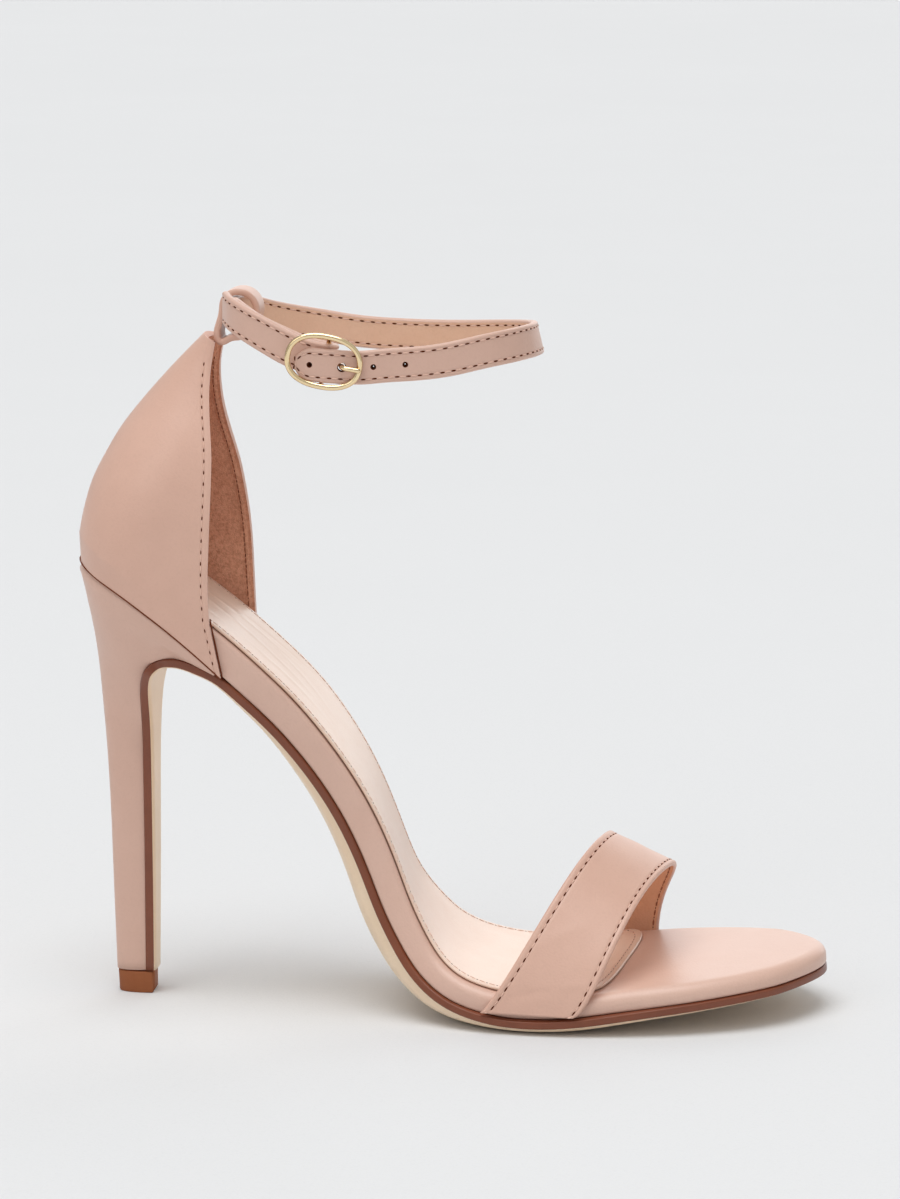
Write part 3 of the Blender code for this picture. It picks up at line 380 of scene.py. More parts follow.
@dataclass(frozen=True)
class Finish:
    """Surface finish of one of the shoe's pieces."""

    name: str
    slot: str
    light: tuple[float, float, float, float]
    dark: tuple[float, float, float, float]
    nap: Nap = Nap.SMOOTH
    clouds: float = 22.0
    contrast: float = 1.2
    cells: float = 1500.0
    creases: float = 90.0
    depth: float = 0.00006
    rough: float = 0.42
    rub: float = 0.12
    coat: float = 0.0
    sheen: float = 0.0
    specular: float = 0.45

    def material(self) -> bpy.types.Material:
        """Material of this finish, built once.

        Returns:
            The material with its node tree.
        """
        known = bpy.data.materials.get(self.name)
        if known:
            return known
        mat = bpy.data.materials.new(self.name)
        mat.use_nodes = True
        graph = Graph(mat.node_tree)
        place = graph.add("TexCoord").outputs["Object"]
        tones = {"Light": self.light, "Dark": self.dark, "Contrast": self.contrast}
        clouds = Effect.CLOUDS.node(graph, {"Vector": place, "Scale": self.clouds, **tones})
        grain = Effect.GRAIN.node(graph, {"Vector": place, "Cells": self.cells, "Creases": self.creases})
        rub = Effect.RUB.node(graph, {"Vector": place, "Scale": self.clouds * 1.7, "Amount": self.rub})
        colour = self.colour(graph, place, clouds.outputs["Color"], grain.outputs["Pores"])
        rough = graph.add("Clamp", {"Value": graph.math("ADD", rub.outputs["Gloss"], self.rough)}).outputs[0]
        bump = graph.add("Bump", {"Height": grain.outputs["Height"], "Distance": self.depth, "Strength": 1.0})
        shader = graph.add("BsdfPrincipled", {
            "Base Color": colour,
            "Roughness": rough,
            "Normal": bump.outputs[0],
            "Metallic": 1.0 if self.nap is Nap.METAL else 0.0,
            "Coat Weight": self.coat,
            "Coat Roughness": 0.25,
            "Sheen Weight": self.sheen,
            "Sheen Roughness": 0.5,
            "Specular IOR Level": self.specular,
        })
        sink = mat.node_tree.nodes.new("ShaderNodeOutputMaterial")
        mat.node_tree.links.new(shader.outputs[0], sink.inputs[0])
        return mat

    def colour(
        self,
        graph: Graph,
        place: bpy.types.NodeSocket,
        base: bpy.types.NodeSocket,
        pores: bpy.types.NodeSocket,
    ) -> bpy.types.NodeSocket:
        """Base colour: darker in pores, speckled by loose fibres on suede, with a painted dark reflection at
        the rims of metal.

        Args:
            graph: tree being built.
            place: object coordinates.
            base: clouded colour.
            pores: mask of the pores.

        Returns:
            Colour socket.
        """
        deep = tuple(v * 0.82 for v in self.dark[:3]) + (1.0,)
        share = graph.math("MULTIPLY", pores, 0.10)
        if self.nap is Nap.SUEDE:
            fibre = graph.noise(place, 1100.0, 2.0, Roughness=0.7)
            share = graph.ramp(fibre.outputs[0], 0.42, 0.66, 0.75)
        if self.nap is Nap.METAL:
            # Painted reflection: the metal's colour darkens as its face turns from view, standing in for dark
            # surroundings mirrored at the rims.
            facing = graph.add("LayerWeight", {"Blend": 0.5}).outputs["Facing"]
            share = graph.ramp(facing, 0.35, 0.85, 0.9)
            deep = tone(142, 94, 44)
        mix = graph.add("Mix", {"Factor": share, 6: base, 7: deep}, data_type="RGBA")
        return mix.outputs[2]


BLUSH = Finish("blush_calf", "blush_leather", tone(222, 182, 163), tone(209, 167, 148), coat=0.12)
BLUSH_HEEL = Finish("heel_cover_calf", "blush_leather", tone(220, 182, 164), tone(209, 170, 152), coat=0.12)
BLUSH_TOE = Finish("footbed_wrap_calf", "blush_leather", tone(224, 189, 172), tone(213, 174, 156), coat=0.2)
BLUSH_EDGE = Finish("folded_edge_calf", "blush_leather", tone(224, 186, 168), tone(212, 168, 150), rough=0.48)
LINING = Finish(
    "counter_suede", "blush_leather", tone(232, 176, 146), tone(204, 142, 112), nap=Nap.SUEDE,
    clouds=60.0, contrast=1.6, depth=0.0002, cells=2300.0, rough=0.85, rub=0.05, sheen=0.25, specular=0.15,
)
STRAP_LINING = Finish(
    "strap_lining", "blush_leather", tone(238, 198, 170), tone(226, 180, 150),
    clouds=45.0, rough=0.6, depth=0.00008, specular=0.3,
)
TOE_LINING = Finish(
    "toe_strap_lining", "blush_leather", tone(232, 182, 150), tone(214, 158, 124),
    clouds=45.0, rough=0.6, depth=0.0001, specular=0.3,
)
SOCK = Finish(
    "sock_kid", "sock_lining", tone(240, 216, 198), tone(230, 196, 174),
    clouds=16.0, contrast=1.8, creases=60.0, depth=0.00004, rough=0.34, rub=0.3, coat=0.3,
)
SOLE_TAN = Finish(
    "sole_bend", "sole_unit", tone(246, 224, 196), tone(231, 200, 166),
    clouds=14.0, contrast=1.6, cells=1100.0, depth=0.00004, rough=0.38, rub=0.2, coat=0.15,
)
SOLE_EDGE = Finish(
    "waxed_sole_edge", "sole_unit", tone(138, 74, 46), tone(108, 54, 30),
    clouds=40.0, cells=1800.0, depth=0.00003, rough=0.38, rub=0.2, coat=0.2,
)
RUBBER = Finish(
    "lift_block_rubber", "lift_rubber", tone(162, 98, 60), tone(138, 78, 46),
    clouds=90.0, cells=2600.0, depth=0.00004, rough=0.6, rub=0.15, specular=0.25,
)
GOLD = Finish(
    "pale_gold", "gold_metal", tone(250, 230, 190), tone(238, 208, 156), nap=Nap.METAL,
    clouds=70.0, contrast=0.8, cells=3000.0, creases=300.0, depth=0.0000015, rough=0.13, rub=0.06,
)
THREAD = Finish(
    "waxed_thread", "blush_leather", tone(234, 200, 182), tone(214, 172, 152),
    clouds=400.0, cells=5000.0, depth=0.00005, rough=0.55,
)
# Painted shade: dark brown tube that stands in for the shadow in the seam gap under the counter
SEAM_SHADE = Finish(
    "painted_seam_shade", "blush_leather", tone(128, 70, 48), tone(104, 54, 36),
    clouds=200.0, rough=0.8, specular=0.05,
)
TAN_THREAD = Finish(
    "tan_thread", "blush_leather", tone(168, 106, 74), tone(138, 82, 54),
    clouds=400.0, cells=5000.0, depth=0.00005, rough=0.6,
)
# Painted shade: dark brown standing in for the shade inside needle holes and punched holes
HOLE_SHADE = Finish(
    "painted_hole_shade", "blush_leather", tone(104, 54, 34), tone(82, 40, 24),
    clouds=300.0, rough=0.9, specular=0.0,
)
FLOOR = Finish(
    "studio_floor", "", tone(225, 226, 227), tone(222, 223, 224), clouds=1.2, rough=0.9, specular=0.0,
)


def placed(name: str, data: bpy.types.ID) -> bpy.types.Object:
    """New object that shows the data, linked to the scene.

    Args:
        name: name of the object.
        data: mesh, lamp or camera.

    Returns:
        The object.
    """
    item = bpy.data.objects.new(name, data)
    bpy.context.scene.collection.objects.link(item)
    return item


@dataclass
class Skin:
    """Closed surface through loops of points.

    Formula: face (j, i) joins points i and i + 1 of loop j to the same points of loop j + 1.
    """

    name: str
    loops: Array
    finishes: Sequence[Finish]
    zones: Array | None = None
    ring: bool = False
    poles: tuple[bool, bool] = (True, True)

    def make(self, node: str | None = None) -> bpy.types.Object:
        """Mesh object of the surface.

        Args:
            node: CAD node that the piece stands for.

        Returns:
            The dressed object, riding on the shoe's body.
        """
        loops = np.asarray(self.loops, float)
        zones = self.zones
        if zones is None:
            zones = np.zeros((len(loops), loops.shape[1]), int)
        if not self.ring:
            first, last = loops[:1].mean(1, keepdims=True), loops[-1:].mean(1, keepdims=True)
            size = (1, loops.shape[1], 3)
            if self.poles[0]:
                loops = np.concatenate([np.broadcast_to(first, size), loops])
                zones = np.concatenate([zones[:1], zones])
            if self.poles[1]:
                loops = np.concatenate([loops, np.broadcast_to(last, size)])
                zones = np.concatenate([zones, zones[-1:]])
        rows, size = loops.shape[:2]
        j, i = np.meshgrid(np.arange(rows if self.ring else rows - 1), np.arange(size), indexing="ij")
        k = (i + 1) % size
        n = (j + 1) % rows
        faces = np.stack([j * size + i, j * size + k, n * size + k, n * size + i], -1).reshape(-1, 4)
        return finished(self.name, loops.reshape(-1, 3), faces, self.finishes, zones[j, i].reshape(-1), node)


def finished(
    name: str,
    points: Array,
    faces: Array,
    finishes: Sequence[Finish],
    zones: Array,
    node: str | None = None,
    weld: bool = True,
) -> bpy.types.Object:
    """Write points and faces to a mesh object, dress it and set it on the shoe.

    Args:
        name: name of the piece.
        points: places in millimetres.
        faces: corner numbers of each face.
        finishes: finishes by zone number.
        zones: zone number of each face.
        node: CAD node that the piece stands for, if it is one.
        weld: whether points that meet are merged and the normals recalculated.

    Returns:
        The new object.
    """
    mesh = bpy.data.meshes.new(name)
    mesh.from_pydata((points * MM).tolist(), [], faces.tolist())
    mesh.polygons.foreach_set("material_index", np.asarray(zones, np.int32))
    mesh.polygons.foreach_set("use_smooth", np.ones(len(faces), bool))
    if weld:
        grid = bmesh.new()
        grid.from_mesh(mesh)
        bmesh.ops.remove_doubles(grid, verts=grid.verts, dist=2e-6)
        bmesh.ops.recalc_face_normals(grid, faces=grid.faces)
        if grid.calc_volume(signed=True) < 0.0:
            bmesh.ops.reverse_faces(grid, faces=grid.faces)
        grid.to_mesh(mesh)
        grid.free()
    item = placed(name, mesh)
    for finish in finishes:
        mesh.materials.append(finish.material())
    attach(item, "root")
    if node:
        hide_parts(node)
    return item


def settle(item: bpy.types.Object) -> None:
    """Apply the modifiers of an object to its mesh.

    Args:
        item: object to change.
    """
    bpy.context.view_layer.update()
    graph = bpy.context.evaluated_depsgraph_get()
    mesh = bpy.data.meshes.new_from_object(item.evaluated_get(graph))
    item.modifiers.clear()
    item.data = mesh


def carve(item: bpy.types.Object, grid: bmesh.types.BMesh, finish: Finish) -> None:
    """Take a shape out of an object with one exact Boolean and free the shape.

    Args:
        item: object to cut.
        grid: closed shape in metres.
        finish: finish of the cut faces.
    """
    mesh = bpy.data.meshes.new("cutter")
    mesh.materials.append(finish.material())
    grid.to_mesh(mesh)
    grid.free()
    tool = placed("cutter", mesh)
    step = item.modifiers.new("carve", "BOOLEAN")
    step.operation = "DIFFERENCE"
    step.solver = "EXACT"
    step.material_mode = "TRANSFER"
    step.object = tool
    settle(item)
    bpy.data.objects.remove(tool, do_unlink=True)


@dataclass(frozen=True)
class Rail:
    """Line on a surface with the outward direction at each of its points."""

    points: Array
    outward: Array


@dataclass
class Stitching:
    """Row of short threads with a needle hole between each two, each hole a sunk dark grain of painted shade.
    """

    pitch: float
    thread: float
    hole: float = 1.05
    thick: float = 0.2
    deep: float = 0.2
    finish: Finish = THREAD
    threads: list[Array] = field(default_factory=list)
    holes: list[Array] = field(default_factory=list)
    PROUD = 0.35
    SIDES = 6
    RINGS = np.array([-0.96, -0.6, 0.0, 0.6, 0.96])

    def grain_shape(self) -> Array:
        """Unit grain of rice: rings of a sphere along x with a pole at each end.

        Returns:
            Points of the rings, then the two poles.
        """
        turn = np.arange(self.SIDES) * 2.0 * np.pi / self.SIDES
        width = np.sqrt(1.0 - self.RINGS**2)[:, None]
        x = np.repeat(self.RINGS, self.SIDES)
        y = (width * np.cos(turn)).reshape(-1)
        z = (width * np.sin(turn)).reshape(-1)
        rings = np.stack([x, y, z], 1)
        return np.vstack([rings, [[-1.0, 0.0, 0.0], [1.0, 0.0, 0.0]]])

    def lay(self, rail: Rail, start: float = 1.2, end: float = 1.2) -> None:
        """Place threads and holes at equal steps along a rail.

        Args:
            rail: line that the row follows.
            start: length left free at the beginning.
            end: length left free at the end.
        """
        run = chords(rail.points)
        count = max(int((run[-1] - start - end) / self.pitch), 1)
        step = (run[-1] - start - end) / count
        middle = start + step * (np.arange(count) + 0.5)
        self.threads.append(self.seat(rail, run, middle, self.thread, self.thick, self.PROUD))
        between = start + step * np.arange(count + 1)
        self.holes.append(self.seat(rail, run, between, self.hole, self.deep, 0.0))

    def seat(self, rail: Rail, run: Array, places: Array, length: float, thick: float, rise: float) -> Array:
        """Grains of rice set on the rail at the places.

        Args:
            rail: line that the row follows.
            run: length along the rail at its points.
            places: lengths at which the grains lie.
            length: length of a grain.
            thick: half thickness of a grain.
            rise: height of its middle as a share of the half thickness.

        Returns:
            Points of every grain.
        """
        def value(table: Array, key: Array) -> Array:
            """Columns of a table read between its rows."""
            return np.stack([np.interp(key, run, table[:, i]) for i in range(3)], 1)

        centre = value(rail.points, places)
        out = unit(value(rail.outward, places))
        along = unit(value(rail.points, places + 0.3) - value(rail.points, places - 0.3))
        side = unit(np.cross(out, along))
        shape = self.grain_shape() * np.array([0.5 * length, 1.15 * thick, thick])
        centre = centre + out * thick * rise
        grains = centre[:, None] + shape[None, :, :1] * along[:, None] + shape[None, :, 1:2] * side[:, None]
        return grains + shape[None, :, 2:] * out[:, None]

    def faces(self, count: int) -> Array:
        """Faces of all grains as triangles.

        Args:
            count: number of grains.

        Returns:
            Corner numbers of each triangle.
        """
        rings, sides = len(self.RINGS), self.SIDES
        j, i = np.meshgrid(np.arange(rings - 1), np.arange(sides), indexing="ij")
        a, b = j * sides + i, j * sides + (i + 1) % sides
        c, d = b + sides, a + sides
        wall = np.concatenate([np.stack([a, b, c], -1), np.stack([a, c, d], -1)]).reshape(-1, 3)
        i = np.arange(sides)
        low = np.stack([np.full(sides, rings * sides), (i + 1) % sides, i], -1)
        top = (rings - 1) * sides
        high = np.stack([np.full(sides, rings * sides + 1), top + i, top + (i + 1) % sides], -1)
        one = np.concatenate([wall, low, high])
        return (one[None] + np.arange(count)[:, None, None] * (rings * sides + 2)).reshape(-1, 3)

    def make(self, name: str) -> list[bpy.types.Object]:
        """Join all rows laid so far into one piece of thread and one of holes in painted shade.

        Args:
            name: first part of the pieces' names.

        Returns:
            The two objects.
        """
        made = []
        # The hole grains carry painted shade for the recess of each needle hole
        for word, rows, finish in (("thread", self.threads, self.finish), ("holes", self.holes, HOLE_SHADE)):
            grains = np.concatenate(rows)
            faces = self.faces(len(grains))
            zones = np.zeros(len(faces), int)
            made.append(finished(f"{name}_{word}", grains.reshape(-1, 3), faces, [finish], zones, weld=False))
        return made


@dataclass(frozen=True)
class Last:
    """Driving sizes of the sole in millimetres, with its rows of shares."""

    length: float = 205.0
    heel_set: float = 15.0
    heel_rise: float = 117.5
    toe_spring: float = 8.0
    ball_half: float = 36.1
    edge: float = 2.0
    dome: float = 2.0
    flap_foot: float = 6.6
    seat_round: float = 24.0
    toe_round: float = 14.0
    shank_from: float = 0.216
    # along, rise, spring, half, centre
    rows: tuple[tuple[float, ...], ...] = (
        (0.010, 0.996, 0.000, 0.634, 0.000),
        (0.034, 0.976, 0.000, 0.634, 0.000),
        (0.073, 0.941, 0.000, 0.634, 0.000),
        (0.112, 0.895, 0.000, 0.634, 0.000),
        (0.151, 0.841, 0.000, 0.632, 0.000),
        (0.190, 0.781, 0.000, 0.622, 0.000),
        (0.224, 0.725, 0.000, 0.604, 0.000),
        (0.268, 0.652, 0.000, 0.576, 0.000),
        (0.312, 0.564, 0.000, 0.556, 0.000),
        (0.348, 0.476, 0.000, 0.553, 0.003),
        (0.376, 0.390, 0.000, 0.565, 0.005),
        (0.399, 0.302, 0.000, 0.595, 0.004),
        (0.420, 0.216, 0.000, 0.640, 0.000),
        (0.443, 0.143, 0.000, 0.698, -0.006),
        (0.469, 0.082, 0.000, 0.765, -0.016),
        (0.505, 0.036, 0.000, 0.852, -0.030),
        (0.554, 0.009, 0.000, 0.928, -0.040),
        (0.595, 0.000, 0.000, 0.966, -0.036),
        (0.634, 0.000, 0.000, 0.988, -0.028),
        (0.673, 0.000, 0.060, 0.998, -0.016),
        (0.712, 0.000, 0.190, 1.000, -0.005),
        (0.751, 0.000, 0.335, 0.994, 0.008),
        (0.790, 0.000, 0.465, 0.976, 0.022),
        (0.829, 0.000, 0.580, 0.936, 0.036),
        (0.868, 0.000, 0.690, 0.866, 0.050),
        (0.905, 0.000, 0.785, 0.770, 0.064),
        (0.941, 0.000, 0.875, 0.645, 0.078),
        (0.971, 0.000, 0.945, 0.530, 0.088),
        (1.000, 0.000, 1.000, 0.430, 0.096),
    )
    # along, rise, half
    breast: tuple[tuple[float, ...], ...] = (
        (0.2080, 0.7424, 0.600),
        (0.1910, 0.7580, 0.590),
        (0.1750, 0.7710, 0.585),
        (0.1585, 0.7810, 0.560),
        (0.1420, 0.7850, 0.530),
        (0.1270, 0.7825, 0.495),
        (0.1130, 0.7740, 0.450),
        (0.1020, 0.7590, 0.480),
        (0.0945, 0.7350, 0.440),
        (0.0905, 0.7000, 0.355),
        (0.0885, 0.6200, 0.230),
        (0.0880, 0.5000, 0.170),
        (0.0878, 0.3200, 0.148),
        (0.0874, 0.1400, 0.128),
        (0.0868, 0.0000, 0.116),
    )

    @property
    def seat(self) -> float:
        """Height of the heel end of the sole line."""
        return self.heel_rise + self.edge + self.dome

    def sole_points(self) -> Array:
        """Points of the sole line from the seat to the toe.

        Returns:
            Places along and up.
        """
        t = np.array(self.rows)
        x = t[:, 0] * self.length - self.heel_set
        z = self.edge + self.dome + t[:, 1] * self.heel_rise + t[:, 2] * self.toe_spring
        return np.stack([x, z], 1)

    def breast_points(self) -> Array:
        """Points of the breast of the heel from the shank down.

        Returns:
            Places along and up.
        """
        t = np.array(self.breast)
        x = t[:, 0] * self.length - self.heel_set
        return np.stack([x, self.flap_foot + t[:, 1] * (self.seat - self.flap_foot)], 1)


class SoleLine:
    """Smooth line in the XZ plane with lengths, directions and half widths."""

    def __init__(self, points: Array, half: Array, centre: Array) -> None:
        """Fit the line and its widths by length along it.

        Args:
            points: places along and up.
            half: half width at each point.
            centre: middle across at each point.
        """
        run = chords(points)
        fine = Curve(run, points)(np.linspace(0.0, run[-1], 400))
        fine_run = chords(fine)
        self.length = float(fine_run[-1])
        keep = np.append(np.arange(0, 400, 9), 399)
        self.place = Curve(fine_run[keep], fine[keep])
        self.wide = Curve(run / run[-1] * self.length, np.stack([half, centre], 1))

    def up(self, s: Array) -> Array:
        """Unit direction square to the line: its chord turned a quarter round.

        Args:
            s: lengths along the line.

        Returns:
            One direction per length.
        """
        ends = self.place(np.clip(s + 0.4, 0.0, self.length)) - self.place(np.clip(s - 0.4, 0.0, self.length))
        t = unit(ends)
        return np.stack([-t[:, 1], t[:, 0]], 1)

    def lay(self, loop: Array, height: float | Array) -> Array:
        """Put a flat outline in space at a height off the line.

        Args:
            loop: places along and across.
            height: distance off the line.

        Returns:
            Points in space.
        """
        s = np.clip(loop[:, 0], 0.0, self.length)
        over = loop[:, 0] - s
        up = self.up(s)
        p = self.place(s) + up * np.broadcast_to(height, s.shape)[:, None]
        return np.stack([p[:, 0] + up[:, 1] * over, loop[:, 1], p[:, 1] - up[:, 0] * over], 1)

    def reach(self, x: float) -> float:
        """Length at which the line first passes a place forward."""
        s = np.linspace(0.0, self.length, 2000)
        return float(s[np.argmax(self.place(s)[:, 0] >= x)])


def bed_line(last: Last) -> SoleLine:
    """Line of the footbed with its widths."""
    t = np.array(last.rows)
    return SoleLine(last.sole_points(), t[:, 3] * last.ball_half, t[:, 4] * last.ball_half)


def shank_line(last: Last) -> SoleLine:
    """Line of the outsole from the toe over the shank and down the breast.

    Args:
        last: driving sizes of the sole.

    Returns:
        The line with its widths.
    """
    t, b = np.array(last.rows), np.array(last.breast)
    keep = t[:, 0] > last.shank_from
    points = np.vstack([last.sole_points()[keep][::-1], last.breast_points()])
    half = np.concatenate([t[keep, 3][::-1], b[:, 2]]) * last.ball_half
    centre = np.concatenate([t[keep, 4][::-1], np.zeros(len(b))]) * last.ball_half
    return SoleLine(points, half, centre)


def tube(
    path: Array,
    across: float | Array,
    high: float | Array,
    guide: tuple[float, float, float],
    sides: int = 24,
    closed: bool = False,
) -> Array:
    """Oval section carried along a path, square to it.

    Args:
        path: points of the middle line.
        across: half width of the section, for the whole path or for each point.
        high: half height of the section, for the whole path or for each point.
        guide: direction that the path never runs in.
        sides: points of the section.
        closed: whether the path runs round.

    Returns:
        Loops of points.
    """
    steps = np.roll(path, -1, axis=0) - np.roll(path, 1, axis=0) if closed else np.gradient(path, axis=0)
    ahead = unit(steps)
    side = unit(np.cross(ahead, np.array(guide)))
    up = np.cross(side, ahead)
    turn = np.linspace(0.0, 2.0 * np.pi, sides + 1)[:-1]
    c, s = np.cos(turn)[None, :, None], np.sin(turn)[None, :, None]
    across, high = (np.broadcast_to(half, len(path))[:, None, None] for half in (across, high))
    return path[:, None] + side[:, None] * across * c + up[:, None] * high * s


def both_sides(s: Array, half: Array, centre: Array) -> Array:
    """Closed outline: forward along the lateral side and back along the medial one.

    Args:
        s: places along.
        half: half width at each place, nothing at both ends.
        centre: middle across at each place.

    Returns:
        Places along and across.
    """
    return np.vstack([np.stack([s, centre - half], 1), np.stack([s, centre + half], 1)[::-1][1:-1]])


def closing(loop: Array, shares: Sequence[float]) -> list[Array]:
    """Copies of an outline drawn in toward the middle between its two sides.

    Args:
        loop: outline as places along and across, and other columns if any, its sides mirrored in count.
        shares: share of the width left in each copy.

    Returns:
        The outlines, every column drawn in alike.
    """
    size = len(loop)
    across = loop[(size - np.arange(size)) % size]
    middle = 0.5 * (loop + across)
    return [middle + (loop - middle) * k for k in shares]


@dataclass
class Footbed:
    """Padded board wrapped in leather, round along its upper edge."""

    last: Last
    thick: float = 7.1
    corner: float = 3.6
    cant: float = 2.2
    crown: float = 0.25
    crown_half: float = 20.0
    under_set: float = 1.2
    # Where the crown of the bare forefoot begins, and how far it takes to rise, as shares of the length
    bare_from: float = 0.6
    bare_rise: float = 0.15
    # along, thick, corner, cant
    rows: tuple[tuple[float, ...], ...] = (
        (0.00, 1.00, 0.30, 0.00),
        (0.12, 1.04, 0.30, 0.00),
        (0.20, 1.16, 0.30, -0.20),
        (0.27, 1.10, 0.31, -0.50),
        (0.35, 1.04, 0.32, 0.00),
        (0.42, 1.03, 0.34, 0.90),
        (0.49, 1.00, 0.40, 1.10),
        (0.56, 0.92, 0.55, -0.20),
        (0.64, 0.85, 0.75, -0.50),
        (0.72, 0.79, 0.90, -0.30),
        (0.80, 0.76, 0.97, 0.00),
        (0.88, 0.70, 0.98, 0.00),
        (1.00, 0.72, 0.80, 0.00),
    )
    folds: tuple[Fold, ...] = (
        Fold(214.0, -30.0, 7.0, 1.2, 82.0, -0.1),
        Fold(222.0, -27.0, 6.0, 1.0, 76.0, -0.1),
        Fold(150.0, -33.0, 9.0, 1.5, 60.0, 0.1),
    )

    def __post_init__(self) -> None:
        """Work out the line and the curves of thickness."""
        self.line = bed_line(self.last)
        table = np.array(self.rows)
        self.curve = Curve(table[:, 0], table[:, 1:])

    def top(self, base: Array) -> Array:
        """Height of the upper face: thickness less the cant toward the medial side.

        Args:
            base: outline as places along and across.

        Returns:
            Height at each point.
        """
        share = np.clip(base[:, 0] / self.line.length, 0.0, 1.0)
        half, centre = self.line.wide(share * self.line.length).T
        across = np.clip(0.5 + 0.5 * (base[:, 1] - centre) / half, 0.0, 1.0)
        thick, _, cant = self.curve(share).T
        return thick * self.thick - cant * self.cant * across

    def build(self) -> bpy.types.Object:
        """Loops up the side, round the corner and across the top.

        Returns:
            The dressed footbed.
        """
        line = self.line
        s = spaced(0.0, line.length, 150)
        half, centre = line.wide(s).T
        half = half * round_end(s, self.last.seat_round) * round_end(line.length - s, self.last.toe_round)
        base = both_sides(s, half, centre)
        top = self.top(base)
        corner = self.curve(base[:, 0] / line.length)[:, 1] * self.corner
        under = closing(inset(base, self.under_set), (0.0, 0.5, 0.9))
        loops = [line.lay(loop, FIT) for loop in under]
        for move, rise in ((self.under_set, 0.0), (0.5, 0.05), (0.12, 0.3), (0.0, 0.7)):
            loops.append(line.lay(inset(base, move), FIT + rise))
        wave = relief(self.folds, base[:, 0], base[:, 1])
        for turn in np.radians(np.linspace(0.0, 90.0, 10)):
            move = corner * (1.0 - np.cos(turn)) - wave * np.cos(turn)
            loops.append(line.lay(inset(base, move), FIT + top - corner * (1.0 - np.sin(turn))))
        upper = np.column_stack([inset(base, corner), FIT + top])
        wide = np.abs(closing(upper, (0.0,))[0][:, 1] - upper[:, 1])
        bare = np.clip((base[:, 0] / line.length - self.bare_from) / self.bare_rise, 0.0, 1.0)
        shares = (0.93, 0.8, 0.6, 0.4, 0.2, 0.0)
        for k, grid in zip(shares, closing(upper, shares)):
            dome = self.crown * (1.0 - k**2) * np.clip(wide / self.crown_half, 0.0, 1.0) * bare
            loops.append(line.lay(grid[:, :2], grid[:, 2] + dome))
        return Skin("footbed_wrap", np.array(loops), [BLUSH_TOE], poles=(False, False)).make("footbed")


@dataclass
class Sock:
    """Thin lining that lies on the footbed, straight across in front."""

    bed: Footbed
    thick: float = 0.7
    edge_set: float = 1.6
    front: float = 136.8
    front_round: float = 8.5
    skew: float = 0.11
    stitch_set: float = 1.7
    lift: float = 0.1
    edge_roll: float = 0.3
    # Share of the footbed's length left free at the back, and of its corner at the sides
    back_free: float = 0.022
    corner_free: float = 0.55
    # Squareness of the front, and its skewed part as a number of front roundings
    front_power: float = 4.0
    skew_reach: float = 5.0
    folds: tuple[Fold, ...] = (
        Fold(40.0, 6.0, 16.0, 0.8, 4.0, 0.16),
        Fold(47.0, -2.0, 20.0, 0.9, -3.0, 0.14),
        Fold(52.0, 11.0, 14.0, 0.7, 7.0, -0.12),
        Fold(60.0, -9.0, 15.0, 1.1, 5.0, 0.12),
        Fold(66.0, 3.0, 10.0, 0.8, -12.0, 0.1),
        Fold(33.0, -12.0, 12.0, 0.9, 8.0, -0.12),
        Fold(150.0, 8.0, 6.0, 1.6, 70.0, 0.08),
        Fold(161.0, -6.0, 8.0, 1.8, 82.0, 0.08),
    )

    def outline(self, extra: float = 0.0) -> Array:
        """Outline on the flat footbed: its width less the corner, squared off in front.

        Args:
            extra: further distance in from the edge.

        Returns:
            Places along and across.
        """
        line, last = self.bed.line, self.bed.last
        low = self.back_free * line.length + extra
        high = line.reach(self.front) - extra
        s = spaced(low, high, 150)
        half, centre = line.wide(s).T
        cap = round_end(s - low, last.seat_round - self.edge_set)
        cap = cap * round_end(high - s, self.front_round, self.front_power)
        corner = self.bed.curve(s / line.length)[:, 1] * self.bed.corner
        half = (half - self.edge_set - extra - self.corner_free * corner) * cap
        base = both_sides(s, half, centre)
        near = np.clip(1.0 - (high - base[:, 0]) / (self.skew_reach * self.front_round), 0.0, 1.0)
        base[:, 0] += self.skew * base[:, 1] * near
        return base

    def height(self, base: Array) -> Array:
        """Height of the lower face off the sole line."""
        return 2.0 * FIT + self.lift + self.bed.top(base)

    def build(self) -> bpy.types.Object:
        """Loops round the thin edge and across the top.

        Returns:
            The dressed sock.
        """
        line = self.bed.line
        base = self.outline()
        low = self.height(base)
        under = closing(np.column_stack([base, low]), (0.0, 0.5, 0.9))
        loops = [line.lay(grid[:, :2], grid[:, 2]) for grid in under]
        for move, rise in ((0.0, 0.0), (0.0, 0.6), (0.08, 0.85), (self.edge_roll, 1.0)):
            loops.append(line.lay(inset(base, move), low + rise * self.thick))
        shares = (0.97, 0.93, 0.87) + tuple(np.linspace(0.8, 0.0, 26))
        for grid in closing(np.column_stack([inset(base, self.edge_roll), low + self.thick]), shares):
            loops.append(line.lay(grid[:, :2], grid[:, 2] + relief(self.folds, grid[:, 0], grid[:, 1])))
        return Skin("sock_sheet", np.array(loops), [SOCK], poles=(False, False)).make("sock")

    def rail(self) -> Rail:
        """Line for the stitches, inside the sock's edge.

        Returns:
            The line with its outward directions.
        """
        line = self.bed.line
        base = self.outline(self.stitch_set)
        points = line.lay(base, self.height(base) + self.thick)
        up = line.up(np.clip(base[:, 0], 0.0, line.length))
        outward = np.stack([up[:, 0], np.zeros(len(up)), up[:, 1]], 1)
        return Rail(points, outward)


